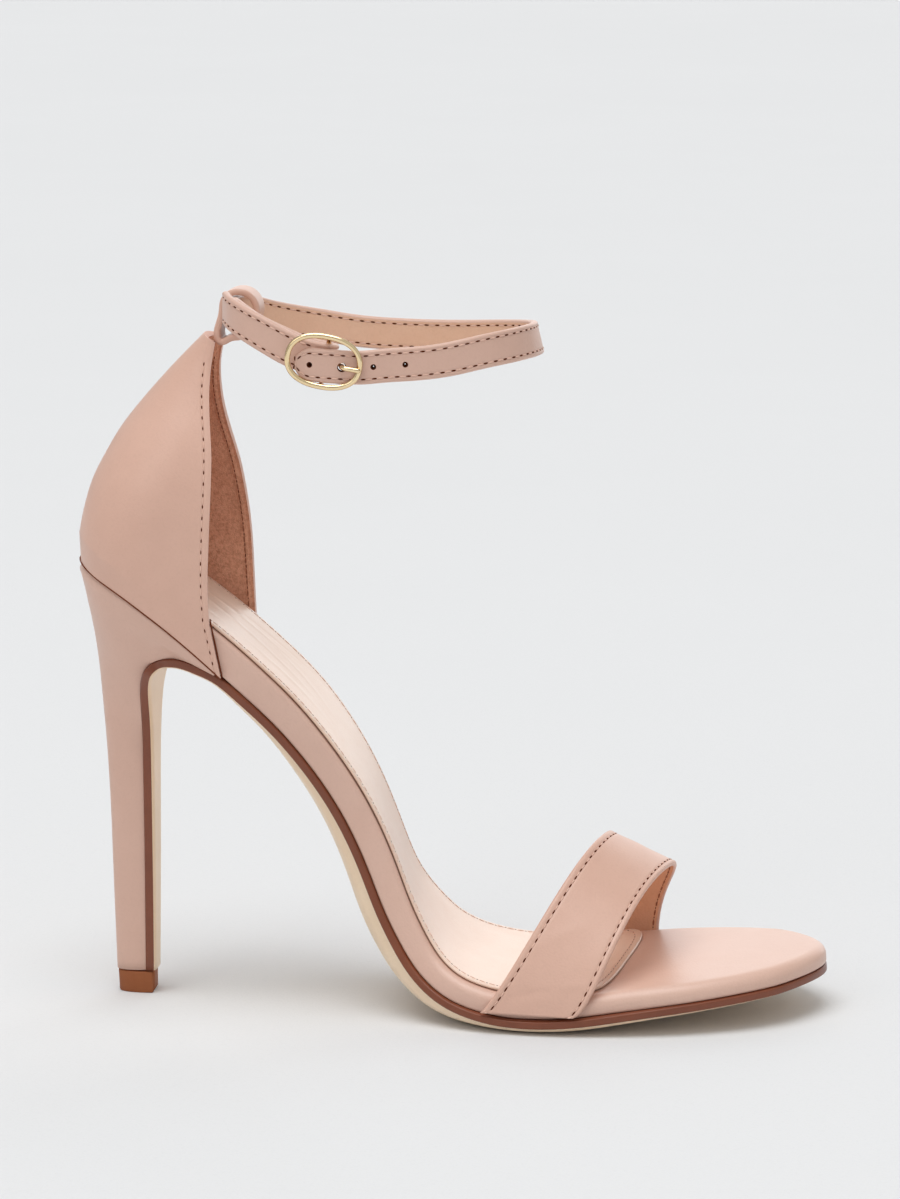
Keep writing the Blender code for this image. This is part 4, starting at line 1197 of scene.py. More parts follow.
@dataclass
class Outsole:
    """Thin sole with a waxed edge, a domed underside and a flap down the breast."""

    last: Last
    ledge: float = 0.5
    strap_ledge: float = 1.4
    fill: float = 0.24
    edge_round: float = 0.3
    # Reach of the domed underside from the edge inward, and the power of its rise
    dome_reach: float = 9.5
    dome_power: float = 2.6
    # Middle and reach of the strap's ledge along the last, as shares of its length
    ledge_middle: float = 0.66
    ledge_reach: float = 0.13
    # Share of the line from the toe that is the forefoot, and where the flap begins
    forefoot: float = 0.58
    flap_from: float = 0.6
    # along, depth
    dome_rows: tuple[tuple[float, float], ...] = (
        (0.00, 0.35),
        (0.12, 0.75),
        (0.19, 1.00),
        (0.23, 1.00),
        (0.27, 1.08),
        (0.33, 2.00),
        (0.40, 2.60),
        (0.46, 2.35),
        (0.55, 1.65),
        (0.62, 0.90),
        (0.67, 0.48),
        (0.73, 0.36),
        (0.86, 0.33),
        (1.00, 0.30),
    )

    def stations(self, line: SoleLine) -> Array:
        """Places along the line, closer at the toe and round the breast curve.

        Args:
            line: line of the outsole.

        Returns:
            Rising lengths along the line.
        """
        breast = chords(self.last.breast_points())[-1]
        toe = spaced(0.0, line.length * 0.4, 90)[:66]
        shank = np.linspace(toe[-1], line.length - breast, 60)[1:]
        curve = np.linspace(line.length - breast, line.length - 0.62 * breast, 60)[1:]
        return np.concatenate([toe, shank, curve, np.linspace(curve[-1], line.length, 24)[1:]])

    def outline(self, line: SoleLine) -> Array:
        """Outline with the ledge that the toe strap stands on.

        Args:
            line: line of the outsole.

        Returns:
            Places along and across, lateral side first.
        """
        s = self.stations(line)
        half, centre = line.wide(s).T
        x = line.place(s)[:, 0]
        middle = self.ledge_middle * self.last.length - self.last.heel_set
        strap = self.strap_ledge * bump_at(x, middle, self.ledge_reach * self.last.length)
        ledge = self.ledge + np.where(s < self.forefoot * line.length, strap, 0.0)
        half = (half + ledge) * round_end(s, self.last.toe_round + self.ledge)
        return np.vstack([np.stack([s, centre - half], 1), np.stack([s, centre + half], 1)[1:][::-1]])

    def drawn_in(self, line: SoleLine, base: Array, move: Array) -> Array:
        """Outline moved inward by its sides only past the shank, its foot left square.

        Args:
            line: line of the outsole.
            base: outline.
            move: distance of each point.

        Returns:
            The moved outline.
        """
        loop = inset(base, move)
        near = base[:, 0] > self.flap_from * line.length
        loop[near, 0] = base[near, 0]
        loop[near, 1] = (base[:, 1] - np.sign(base[:, 1]) * move)[near]
        return loop

    def build(self) -> bpy.types.Object:
        """Loops down the edge, over its two soft corners and across the underside.

        Returns:
            The dressed outsole.
        """
        line = shank_line(self.last)
        base = self.outline(line)
        run = base[:, 0] / line.length
        dome = Curve(*np.array(self.dome_rows).T)(run)[:, 0] * self.last.dome
        reach = np.minimum(Curve([0.0, 0.6, 0.72, 1.0], [1.0, 1.0, 0.45, 0.3])(run)[:, 0], 1.0)
        inner = self.drawn_in(line, base, self.edge_round * reach)
        loops = [line.lay(loop, -self.fill) for loop in closing(inner, (0.0, 0.5, 0.9))]
        depth = self.last.edge
        edge = ((0.9, -self.fill), (0.6, -0.05), (0.2, 0.0), (0.05, 0.08), (0.0, self.edge_round))
        edge += ((0.0, depth - 0.35), (0.08, depth - 0.1), (self.edge_round, depth))
        for move, drop in edge:
            loops.append(line.lay(self.drawn_in(line, base, move * reach), drop))
        edge_loops = len(loops)
        for move in (1.3, 2.2, 3.4, 4.8, 6.2, 7.8, self.dome_reach):
            part = 1.0 - (1.0 - move / self.dome_reach) ** self.dome_power
            drop = depth + dome * (0.12 + 0.88 * part)
            loops.append(line.lay(self.drawn_in(line, base, move * reach), drop))
        last_loop = self.drawn_in(line, base, self.dome_reach * reach)
        loops += [line.lay(loop, depth + dome) for loop in closing(last_loop, (0.66, 0.33, 0.0))]
        stack = np.array(loops)
        stack[:, :, 2] = np.maximum(stack[:, :, 2], 0.0)
        zones = np.zeros(stack.shape[:2], int)
        zones[:edge_loops - 1] = 1
        return Skin("sole_leather", stack, [SOLE_TAN, SOLE_EDGE], zones, poles=(False, False)).make("outsole")


def heel_section(
    back: Array, fore: Array, half: Array, front_half: Array, power: Array, around: Array
) -> Array:
    """Sections of the heel: a superellipse at the back that narrows to the breast.

    Args:
        back: back point of each section, along and up.
        fore: front point of each section.
        half: half width of each section.
        front_half: half width at the front.
        power: squareness of each section.
        around: places from the back to the front.

    Returns:
        Points of each section, lateral side first.
    """
    a = around[None, :]
    power = power[:, None]
    y = half[:, None] * (1.0 - (1.0 - a) ** power) ** (1.0 / power) + (front_half - half)[:, None] * a**3
    p = back[:, None] + (fore - back)[:, None] * a[..., None]
    lateral = np.stack([p[..., 0], -y, p[..., 1]], -1)
    medial = np.stack([p[..., 0], y, p[..., 1]], -1)[:, ::-1]
    return np.concatenate([lateral, medial[:, :-1]], 1)


@dataclass
class Heel:
    """Slim heel covered in leather, with its top lift."""

    last: Last
    lift_height: float = 6.0
    lift_depth: float = 9.9
    lift_half: float = 4.4
    wall: float = 1.8
    seat_reach: float = 40.7
    seat_back: float = 0.8
    lip_fade: float = 0.75
    # Share of the lift that lies behind the origin, its squareness and its narrowing to the front
    lift_behind: float = 0.56
    lift_power: float = 2.6
    lift_front: float = 0.96
    # back_set, back_rise, front, half, front_half, power
    rows: tuple[tuple[float, ...], ...] = (
        (0.410, 0.0000, 0.000, 0.128, 0.116, 2.3),
        (0.440, 0.1300, 0.130, 0.134, 0.124, 2.3),
        (0.470, 0.2700, 0.260, 0.142, 0.134, 2.3),
        (0.500, 0.4100, 0.390, 0.154, 0.146, 2.3),
        (0.552, 0.5500, 0.510, 0.176, 0.160, 2.3),
        (0.608, 0.6500, 0.590, 0.206, 0.178, 2.3),
        (0.655, 0.7300, 0.650, 0.258, 0.240, 2.3),
        (0.705, 0.7950, 0.700, 0.325, 0.300, 2.3),
        (0.755, 0.8450, 0.742, 0.398, 0.362, 2.35),
        (0.805, 0.8850, 0.780, 0.472, 0.425, 2.4),
        (0.855, 0.9200, 0.822, 0.548, 0.480, 2.45),
        (0.900, 0.9500, 0.866, 0.615, 0.520, 2.5),
        (0.950, 0.9760, 0.912, 0.660, 0.585, 2.5),
    )

    def steps(self) -> Array:
        """Places along a half section, closer at the back and in the last millimetre."""
        return np.append(np.linspace(0.0, 1.0, 36)[:-1] ** 1.5, [0.985, 1.0])

    def front(self, share: Array) -> Array:
        """Points of the breast a fit behind the flap.

        Args:
            share: places from the foot of the breast at zero to its top at one.

        Returns:
            Places along and up.
        """
        line = shank_line(self.last)
        breast = chords(self.last.breast_points())[-1]
        s = line.length - share * breast
        return line.place(s) - line.up(s) * FIT

    def seat_loop(self, height: float, reach: float) -> Array:
        """Section along the seat of the footbed, thin toward its lip.

        Args:
            height: height over the sole line at the back.
            reach: share of the full width.

        Returns:
            Points of the section.
        """
        bed = bed_line(self.last)
        steps = self.steps()
        fade = np.concatenate([steps, steps[::-1][:-1]])
        high = bed.reach(self.seat_reach - self.last.heel_set)
        low = self.seat_back - self.wall
        s = low + (high - low) * steps
        y = bed.wide(np.clip(s, 0.0, None))[:, 0] + self.wall
        y = y * round_end(s - low, self.last.seat_round + self.wall) * reach
        loop = np.vstack([np.stack([s, -y], 1), np.stack([s, y], 1)[::-1][:-1]])
        return bed.lay(loop, height * (1.0 - self.lip_fade * fade))

    def build(self) -> list[bpy.types.Object]:
        """Cover from the lift to the seat, and the lift.

        Returns:
            The two dressed pieces.
        """
        low = self.lift_height + FIT
        table = np.array(self.rows)
        keys = np.arange(len(table))
        row = Curve(keys, table)(np.linspace(0.0, keys[-1], 70))
        back = np.stack([-row[:, 0] * self.last.heel_set, low + row[:, 1] * (self.last.seat - low)], 1)
        fore = self.front(row[:, 2])
        fore[:, 1] = np.maximum(fore[:, 1], low)
        ball = self.last.ball_half
        rings = heel_section(back, fore, row[:, 3] * ball, row[:, 4] * ball, row[:, 5], self.steps())
        seat = [self.seat_loop(h, r) for h, r in ((-2.4, 0.985), (-1.1, 0.996), (-0.35, 1.0), (0.0, 0.99))]
        cover = Skin("heel_cover", np.concatenate([rings, np.array(seat)]), [BLUSH_HEEL]).make("heel")
        grow = np.array([0.93, 0.975, 1.0, 1.02, 1.045, 1.03, 1.0])
        rise = np.append([0.0, 0.12, 0.4, 3.0], self.lift_height - np.array([0.3, 0.08, 0.0]))
        back = np.stack([-self.lift_behind * self.lift_depth * grow, rise], 1)
        ahead = (1.0 - self.lift_behind) * self.lift_depth
        fore = np.stack([ahead * np.minimum(grow, 1.0), rise], 1)
        half = self.lift_half * grow
        power = np.full(len(grow), self.lift_power)
        rings = heel_section(back, fore, half, half * self.lift_front, power, self.steps())
        return [cover, Skin("lift_block", rings, [RUBBER]).make("top_lift")]


@dataclass
class Counter:
    """Closed back of the upper: one wall, lined inside, with stitched front edges."""

    last: Last
    wall: float = 1.8
    half: float = 25.2
    top: float = 183.8
    near: float = 42.1
    far: float = 45.3
    stitch_set: float = 2.0
    bead: float = 0.1
    groove: float = 0.16
    rim: float = 0.45
    seam: float = 0.21
    # Place well inside the heel cup, and how much each direction says of which way is out
    inside: tuple[float, float, float] = (10.0, 0.0, 0.0)
    outward: tuple[float, float, float] = (0.2, 1.0, 0.0)
    # Rows at which the stitches start over the seat, and how far below the top they end
    stitch_from: float = -0.9
    stitch_free: float = 0.9
    # back_along, back_up, lateral_along, lateral_up, medial_along, medial_up, half, bend
    rows: tuple[tuple[float, ...], ...] = (
        (0.0005, 0.708, 0.1925, 0.585, 0.2170, 0.578, 1.000, 0.53),
        (0.0055, 0.736, 0.1905, 0.640, 0.2150, 0.635, 1.000, 0.55),
        (0.0125, 0.764, 0.1915, 0.695, 0.2125, 0.690, 0.985, 0.59),
        (0.0225, 0.792, 0.1930, 0.745, 0.2075, 0.741, 0.950, 0.63),
        (0.0390, 0.826, 0.1940, 0.795, 0.2000, 0.793, 0.880, 0.68),
        (0.0580, 0.860, 0.1925, 0.842, 0.1900, 0.842, 0.770, 0.74),
        (0.0846, 0.898, 0.1875, 0.886, 0.1835, 0.887, 0.610, 0.82),
        (0.1136, 0.935, 0.1845, 0.926, 0.1825, 0.928, 0.460, 0.90),
        (0.1424, 0.969, 0.1855, 0.959, 0.1855, 0.961, 0.360, 0.96),
        (0.1700, 1.000, 0.1900, 0.990, 0.1920, 0.990, 0.315, 1.00),
    )
    folds: tuple[Fold, ...] = (
        Fold(118.0, -18.0, 10.0, 3.0, 12.0, 0.12),
        Fold(128.0, -24.0, 9.0, 3.5, -20.0, -0.14),
        Fold(150.0, -14.0, 14.0, 4.0, 55.0, 0.12),
        Fold(166.0, -10.0, 9.0, 2.4, 62.0, -0.1),
        Fold(134.0, 22.0, 12.0, 3.5, 25.0, 0.12),
        Fold(158.0, 14.0, 10.0, 3.0, 60.0, -0.1),
    )

    def __post_init__(self) -> None:
        """Prepare the curves through the rows."""
        table = np.array(self.rows)
        self.last_key = len(table) - 1.0
        self.curve = Curve(np.arange(len(table)), table)
        self.bed = bed_line(self.last)

    def seat_row(self, v: Array, out: float = 0.0, height: float = FIT) -> Array:
        """Row along the seat: the footbed's outline plus the wall.

        Args:
            v: places from the lateral front at minus one to the medial front at one.
            out: further distance out.
            height: height over the sole line.

        Returns:
            Points in space.
        """
        low = -self.wall - FIT - out
        near = self.bed.reach(self.near - self.last.heel_set)
        far = self.bed.reach(self.far - self.last.heel_set)
        s = low + (np.where(v < 0.0, near, far) - low) * np.abs(v)
        wide = self.bed.wide(np.clip(s, 0.0, None))[:, 0] + self.wall + FIT + out
        y = wide * round_end(s - low, self.last.seat_round + self.wall + FIT) * np.sign(v)
        return self.bed.lay(np.stack([s, y], 1), height)

    def plain(self, u: Array, v: Array) -> Array:
        """Outer face: rows between a back point and two front points, round at the back.

        Args:
            u: row key, minus one at the seat and the last key at the top.
            v: places from the lateral front at minus one to the medial front at one.

        Returns:
            Points in space.
        """
        u, v = (w.ravel() for w in np.broadcast_arrays(u, v))
        row = self.curve(np.clip(u, 0.0, self.last_key))
        place = np.array([self.last.length, self.top])
        shift = np.array([self.last.heel_set, 0.0])
        back = row[:, 0:2] * place - shift
        front = np.where(v[:, None] < 0.0, row[:, 2:4], row[:, 4:6]) * place - shift
        a = np.abs(v)
        p = back + (front - back) * a[:, None]
        d = np.clip(a / row[:, 7], 0.0, 1.0)
        y = row[:, 6] * self.half * np.sqrt(np.clip(1.0 - (1.0 - d) ** 2, 0.0, 1.0)) * np.sign(v)
        upper = np.stack([p[:, 0], y, p[:, 1]], 1)
        low = np.clip(-u, 0.0, 1.0)[:, None]
        return upper + (self.seat_row(v) - upper) * low

    def span(self, u: Array) -> Array:
        """Length of each row from the back to the lateral front.

        Args:
            u: row keys.

        Returns:
            One length per key.
        """
        row = self.curve(np.clip(u, 0.0, self.last_key))
        along = (row[:, 2] - row[:, 0]) * self.last.length
        return np.hypot(along, (row[:, 3] - row[:, 1]) * self.top)

    def surface(self, u: Array, v: Array) -> Array:
        """Outer face with the folded bead and stitch groove of its front edges, and soft folds.

        Args:
            u: row key.
            v: places round the heel.

        Returns:
            Points in space.
        """
        shape = np.broadcast(u, v).shape
        flat_u, flat_v = (w.ravel() for w in np.broadcast_arrays(u, v))
        p = self.plain(flat_u, flat_v)
        sign = np.where(flat_v < 0.0, -1.0, 1.0)
        inner_v = np.clip(np.abs(flat_v), 0.02, 0.98) * sign
        out = normal_of(self.plain, np.clip(flat_u, -0.95, self.last_key - 0.05), inner_v)
        outward = np.sign((out * (p - np.array(self.inside)) * np.array(self.outward)).sum(1))
        out = out * outward[:, None]
        d = (1.0 - np.abs(flat_v)) * self.span(flat_u)
        height = self.bead * bump_at(d, 0.9, 0.6) - self.groove * bump_at(d, self.stitch_set, 0.32)
        height += relief(self.folds, p[:, 2], p[:, 1]) * np.clip(d / 6.0, 0.0, 1.0)
        return (p + out * height[:, None]).reshape(*shape, 3)

    def build(self) -> bpy.types.Object:
        """Grid of the outer face, given its wall and soft rims by modifiers.

        Returns:
            The dressed counter.
        """
        far = 1.0 - np.linspace(0.0, 0.17, 24)[::-1]
        near = np.linspace(0.0, far[0], 30)[:-1]
        side = np.concatenate([near, far])
        v = np.concatenate([-side[::-1], side[1:]])
        u = np.concatenate([np.linspace(-1.0, 0.0, 8)[:-1], np.linspace(0.0, self.last_key, 84)])
        points = self.surface(u[:, None], v[None, :])
        rows, size = points.shape[:2]
        j, i = np.meshgrid(np.arange(rows - 1), np.arange(size - 1), indexing="ij")
        faces = np.stack([j * size + i, j * size + i + 1, (j + 1) * size + i + 1, (j + 1) * size + i], -1)
        faces = faces.reshape(-1, 4)[:, ::-1]
        zones = np.zeros(len(faces), int)
        finishes = [BLUSH, LINING, BLUSH_EDGE]
        item = finished("counter_upper", points.reshape(-1, 3), faces, finishes, zones, "counter", False)
        shell = item.modifiers.new("wall", "SOLIDIFY")
        shell.thickness = self.wall * MM
        shell.offset = -1.0
        shell.use_even_offset = True
        shell.material_offset = 1
        shell.material_offset_rim = 2
        rim = item.modifiers.new("rim", "BEVEL")
        rim.width = self.rim * MM
        rim.segments = 3
        rim.limit_method = "ANGLE"
        rim.angle_limit = math.radians(50.0)
        settle(item)
        item.data.polygons.foreach_set("use_smooth", np.ones(len(item.data.polygons), bool))
        return item

    def seams(self) -> list[bpy.types.Object]:
        """Dark line of painted shade in the gap under the seat and down the foot of the near front edge.

        Returns:
            The two dressed lines.
        """
        v = np.linspace(-1.0, 1.0, 241)
        line = tube(self.seat_row(v, -0.06, 0.13), self.seam, self.seam, (0.0, 0.0, 1.0), 12)
        made = [Skin("seat_seam", line, [SEAM_SHADE]).make()]
        u = np.linspace(-1.0, 0.15, 40)
        out = normal_of(self.plain, np.clip(u, -0.95, None), np.full(len(u), -0.98))
        out = out * -np.sign(out[:, 1])[:, None]
        foot = self.plain(u, np.full(len(u), -1.0)) - out * (self.wall - 0.1) + np.array([0.12, 0.0, 0.0])
        line = tube(foot, self.seam + 0.01, self.seam + 0.01, (0.0, 1.0, 0.0), 12)
        made.append(Skin("edge_seam", line, [SEAM_SHADE]).make())
        return made

    def rail(self, side: float, inner: bool) -> Rail:
        """Line of stitches along one front edge.

        Args:
            side: minus one for the lateral edge, one for the medial.
            inner: whether the line is on the lining.

        Returns:
            The line with its outward directions.
        """
        u = np.linspace(self.stitch_from, self.last_key - self.stitch_free, 120)
        v = side * (1.0 - self.stitch_set / self.span(u))
        points = self.surface(u, v)
        out = normal_of(self.plain, u, v)
        out = out * np.sign(out[:, 1] * side)[:, None]
        if inner:
            return Rail(points - out * self.wall, -out)
        return Rail(points, out)


@dataclass
class TabLoop:
    """Closed loop of strip that carries the ankle strap at the back."""

    last: Last
    wall: float = 1.7
    width: float = 10.0
    depth: float = 12.2
    height: float = 16.6
    back: float = 37.55
    foot: float = 178.6
    crown: float = 0.12
    # along, up
    rows: tuple[tuple[float, float], ...] = (
        (0.12, 0.38),
        (0.185, 0.54),
        (0.23, 0.70),
        (0.275, 0.87),
        (0.42, 0.97),
        (0.60, 1.00),
        (0.80, 0.96),
        (0.945, 0.85),
        (1.00, 0.70),
        (0.96, 0.55),
        (0.86, 0.41),
        (0.74, 0.31),
        (0.60, 0.265),
        (0.45, 0.25),
        (0.34, 0.215),
        (0.24, 0.18),
        (0.16, 0.19),
        (0.115, 0.26),
    )

    def build(self) -> bpy.types.Object:
        """Rounded section carried round the loop.

        Returns:
            The dressed loop.
        """
        points = np.array(self.rows) * np.array([self.depth, self.height])
        points = points + np.array([self.back - self.last.heel_set, self.foot])
        count = len(points)
        round_trip = np.vstack([points[-3:], points, points[:4]])
        run = chords(round_trip)
        key = np.linspace(run[3], run[3 + count], 97)[:-1]
        middle = Curve(run, round_trip)(key)
        ahead = unit(np.roll(middle, -1, axis=0) - np.roll(middle, 1, axis=0))
        out = np.stack([-ahead[:, 1], ahead[:, 0]], 1)
        section = strip_section(self.width, self.wall, 0.5)
        bow = self.crown * (1.0 - (2.0 * section[:, 0] / self.width) ** 2)
        offset = section[:, 1] + bow * np.sign(section[:, 1])
        x = middle[:, None, 0] + out[:, None, 0] * offset
        z = middle[:, None, 1] + out[:, None, 1] * offset
        y = np.broadcast_to(section[:, 0], x.shape)
        return Skin("tab_strip", np.stack([x, y, z], -1), [BLUSH], ring=True).make("tab_loop")


def strip_section(width: float, wall: float, soft: float, count: int = 14) -> Array:
    """Section of a strip: two flat faces joined by round edges.

    Args:
        width: width of the strip.
        wall: thickness of the strip.
        soft: length of the rounding at each edge.
        count: points on each flat face.

    Returns:
        Places across and off the middle.
    """
    half, t = 0.5 * width, 0.5 * wall
    turn = np.linspace(-90.0, 90.0, 8)[1:-1]
    arc_x = half - soft + soft * np.cos(np.radians(turn))
    arc_y = t * np.sin(np.radians(turn))
    flat = np.linspace(-half + soft, half - soft, count)
    upper = np.stack([flat[::-1], np.full(count, t)], 1)
    lower = np.stack([flat, np.full(count, -t)], 1)
    return np.vstack([lower, np.stack([arc_x, arc_y], 1), upper, np.stack([-arc_x[::-1], arc_y[::-1]], 1)])


def flat_faces(section: Array, wall: float, side: float) -> Array:
    """Which faces of a strip's section lie on one flat side.

    Args:
        section: section from strip_section.
        wall: thickness of the strip.
        side: one for the upper side, minus one for the lower.

    Returns:
        True for each face on that side.
    """
    flat = side * section[:, 1] > 0.49 * wall
    return flat & np.roll(flat, -1)


@dataclass
class ToeStrap:
    """Arched band over the toes with folded edges and two rows of stitches."""

    last: Last
    wall: float = 1.5
    height: float = 41.5
    shift: float = 2.7
    ease: float = 0.95
    stitch_back: float = 2.0
    stitch_front: float = 1.7
    crown: float = 0.1
    bead: float = 0.09
    groove: float = 0.17
    inner_groove: float = 0.1
    thread_proud: float = 0.12
    thread_sunk: float = 0.08
    # Powers of the arch: how it leaves the feet, and how round it is on top
    side_power: float = 0.94
    rise_power: float = 1.05
    # lateral, medial, lean, height, early, late
    edges: tuple[tuple[float, ...], ...] = (
        (0.5551, 0.6244, 0.1078, 0.982, 0.86, 1.2),
        (0.6780, 0.7640, 0.0600, 0.722, 0.62, 1.6),
    )
    folds: tuple[Fold, ...] = (
        Fold(8.0, 9.0, 6.0, 1.6, 64.0, -0.22),
        Fold(12.0, 17.0, 7.0, 1.8, 70.0, 0.16),
        Fold(26.0, 6.0, 8.0, 2.2, 40.0, 0.12),
        Fold(52.0, 13.0, 10.0, 3.0, 20.0, -0.12),
        Fold(78.0, 8.0, 9.0, 2.4, -35.0, 0.14),
        Fold(101.0, 12.0, 7.0, 1.8, -60.0, -0.2),
    )

    def edge(self, index: int, turn: Array) -> Array:
        """One edge: half an oval over the foot that leans forward as it climbs.

        Args:
            index: zero for the back edge, one for the front.
            turn: angle from the lateral foot at zero to the medial foot at pi.

        Returns:
            Points of the edge.
        """
        bed = bed_line(self.last)
        lateral, medial, lean, height, early, late = self.edges[index]
        c, w = np.cos(turn), np.clip(np.sin(turn), 0.0, 1.0)
        share = 0.5 * (1.0 - np.sign(c) * np.abs(c) ** self.side_power)
        lean = lean * w ** (early + late * share**2)
        x = (lateral + (medial - lateral) * share + lean) * self.last.length - self.last.heel_set
        ends = np.array([lateral, medial]) * self.last.length - self.last.heel_set
        feet = np.array([bed.reach(ends[0]), bed.reach(ends[1])])
        half, centre = bed.wide(feet).T
        low = centre[0] - half[0] - self.ease
        high = centre[1] + half[1] + self.ease
        y = low + (high - low) * share + self.shift * w
        foot = bed.place(feet)[:, 1]
        rise = height * self.height * w**self.rise_power
        z = foot[0] + (foot[1] - foot[0]) * share + 2.0 * FIT + rise
        return np.stack([x, y, z], -1)

    def frame(self, turn: Array) -> tuple[Array, Array, Array, Array]:
        """Back edge, direction across, outward direction and width of the band.

        Args:
            turn: angles over the foot.

        Returns:
            The four arrays.
        """
        back, front = self.edge(0, turn), self.edge(1, turn)
        along = np.gradient(0.5 * (back + front), axis=0)
        width = np.linalg.norm(front - back, axis=1)
        cross = unit(front - back)
        out = unit(np.cross(along, cross))
        return back, cross, out * np.sign(out[len(turn) // 2, 2]), width

    def build(self) -> bpy.types.Object:
        """Section carried over the foot, with stitch grooves and soft folds.

        Returns:
            The dressed strap.
        """
        turn = np.linspace(0.0, np.pi, 170)
        back, cross, out, width = self.frame(turn)
        run = chords(back)
        section = strip_section(1.0, self.wall, 0.03, 60)
        place = (section[None, :, 0] + 0.5) * width[:, None]
        share = section[None, :, 0] + 0.5
        off = np.broadcast_to(section[None, :, 1] + 0.5 * self.wall, place.shape).copy()
        off += self.crown * (1.0 - (2.0 * share - 1.0) ** 2)
        outer = section[None, :, 1] > 0.0
        to_front = width[:, None] - place
        groove = bump_at(place, self.stitch_back, 0.35) + bump_at(to_front, self.stitch_front, 0.35)
        bead = bump_at(place, 0.9, 0.6) + bump_at(to_front, 0.8, 0.6)
        off += np.where(outer, self.bead * bead - self.groove * groove, self.inner_groove * groove)
        fade = np.clip(np.minimum(place, to_front) / 3.0, 0.0, 1.0)
        off += relief(self.folds, run[:, None], place) * fade
        points = back[:, None] + cross[:, None] * place[..., None] + out[:, None] * off[..., None]
        zones = np.broadcast_to(flat_faces(section, self.wall, -1.0).astype(int), place.shape)
        return Skin("toe_band", points, [BLUSH, TOE_LINING], zones).make("toe_strap")

    def rail(self, front: bool, inner: bool) -> Rail:
        """Line of stitches along one edge.

        Args:
            front: front edge instead of the back edge.
            inner: on the lining instead of the outside.

        Returns:
            The line with its outward directions.
        """
        turn = np.linspace(0.02, np.pi - 0.02, 200)
        back, cross, out, width = self.frame(turn)
        place = width - self.stitch_front if front else np.full(len(turn), self.stitch_back)
        off = np.full(len(turn), self.thread_proud if inner else self.wall - self.thread_sunk)
        points = back + cross * place[:, None] + out * off[:, None]
        return Rail(points, -out if inner else out)


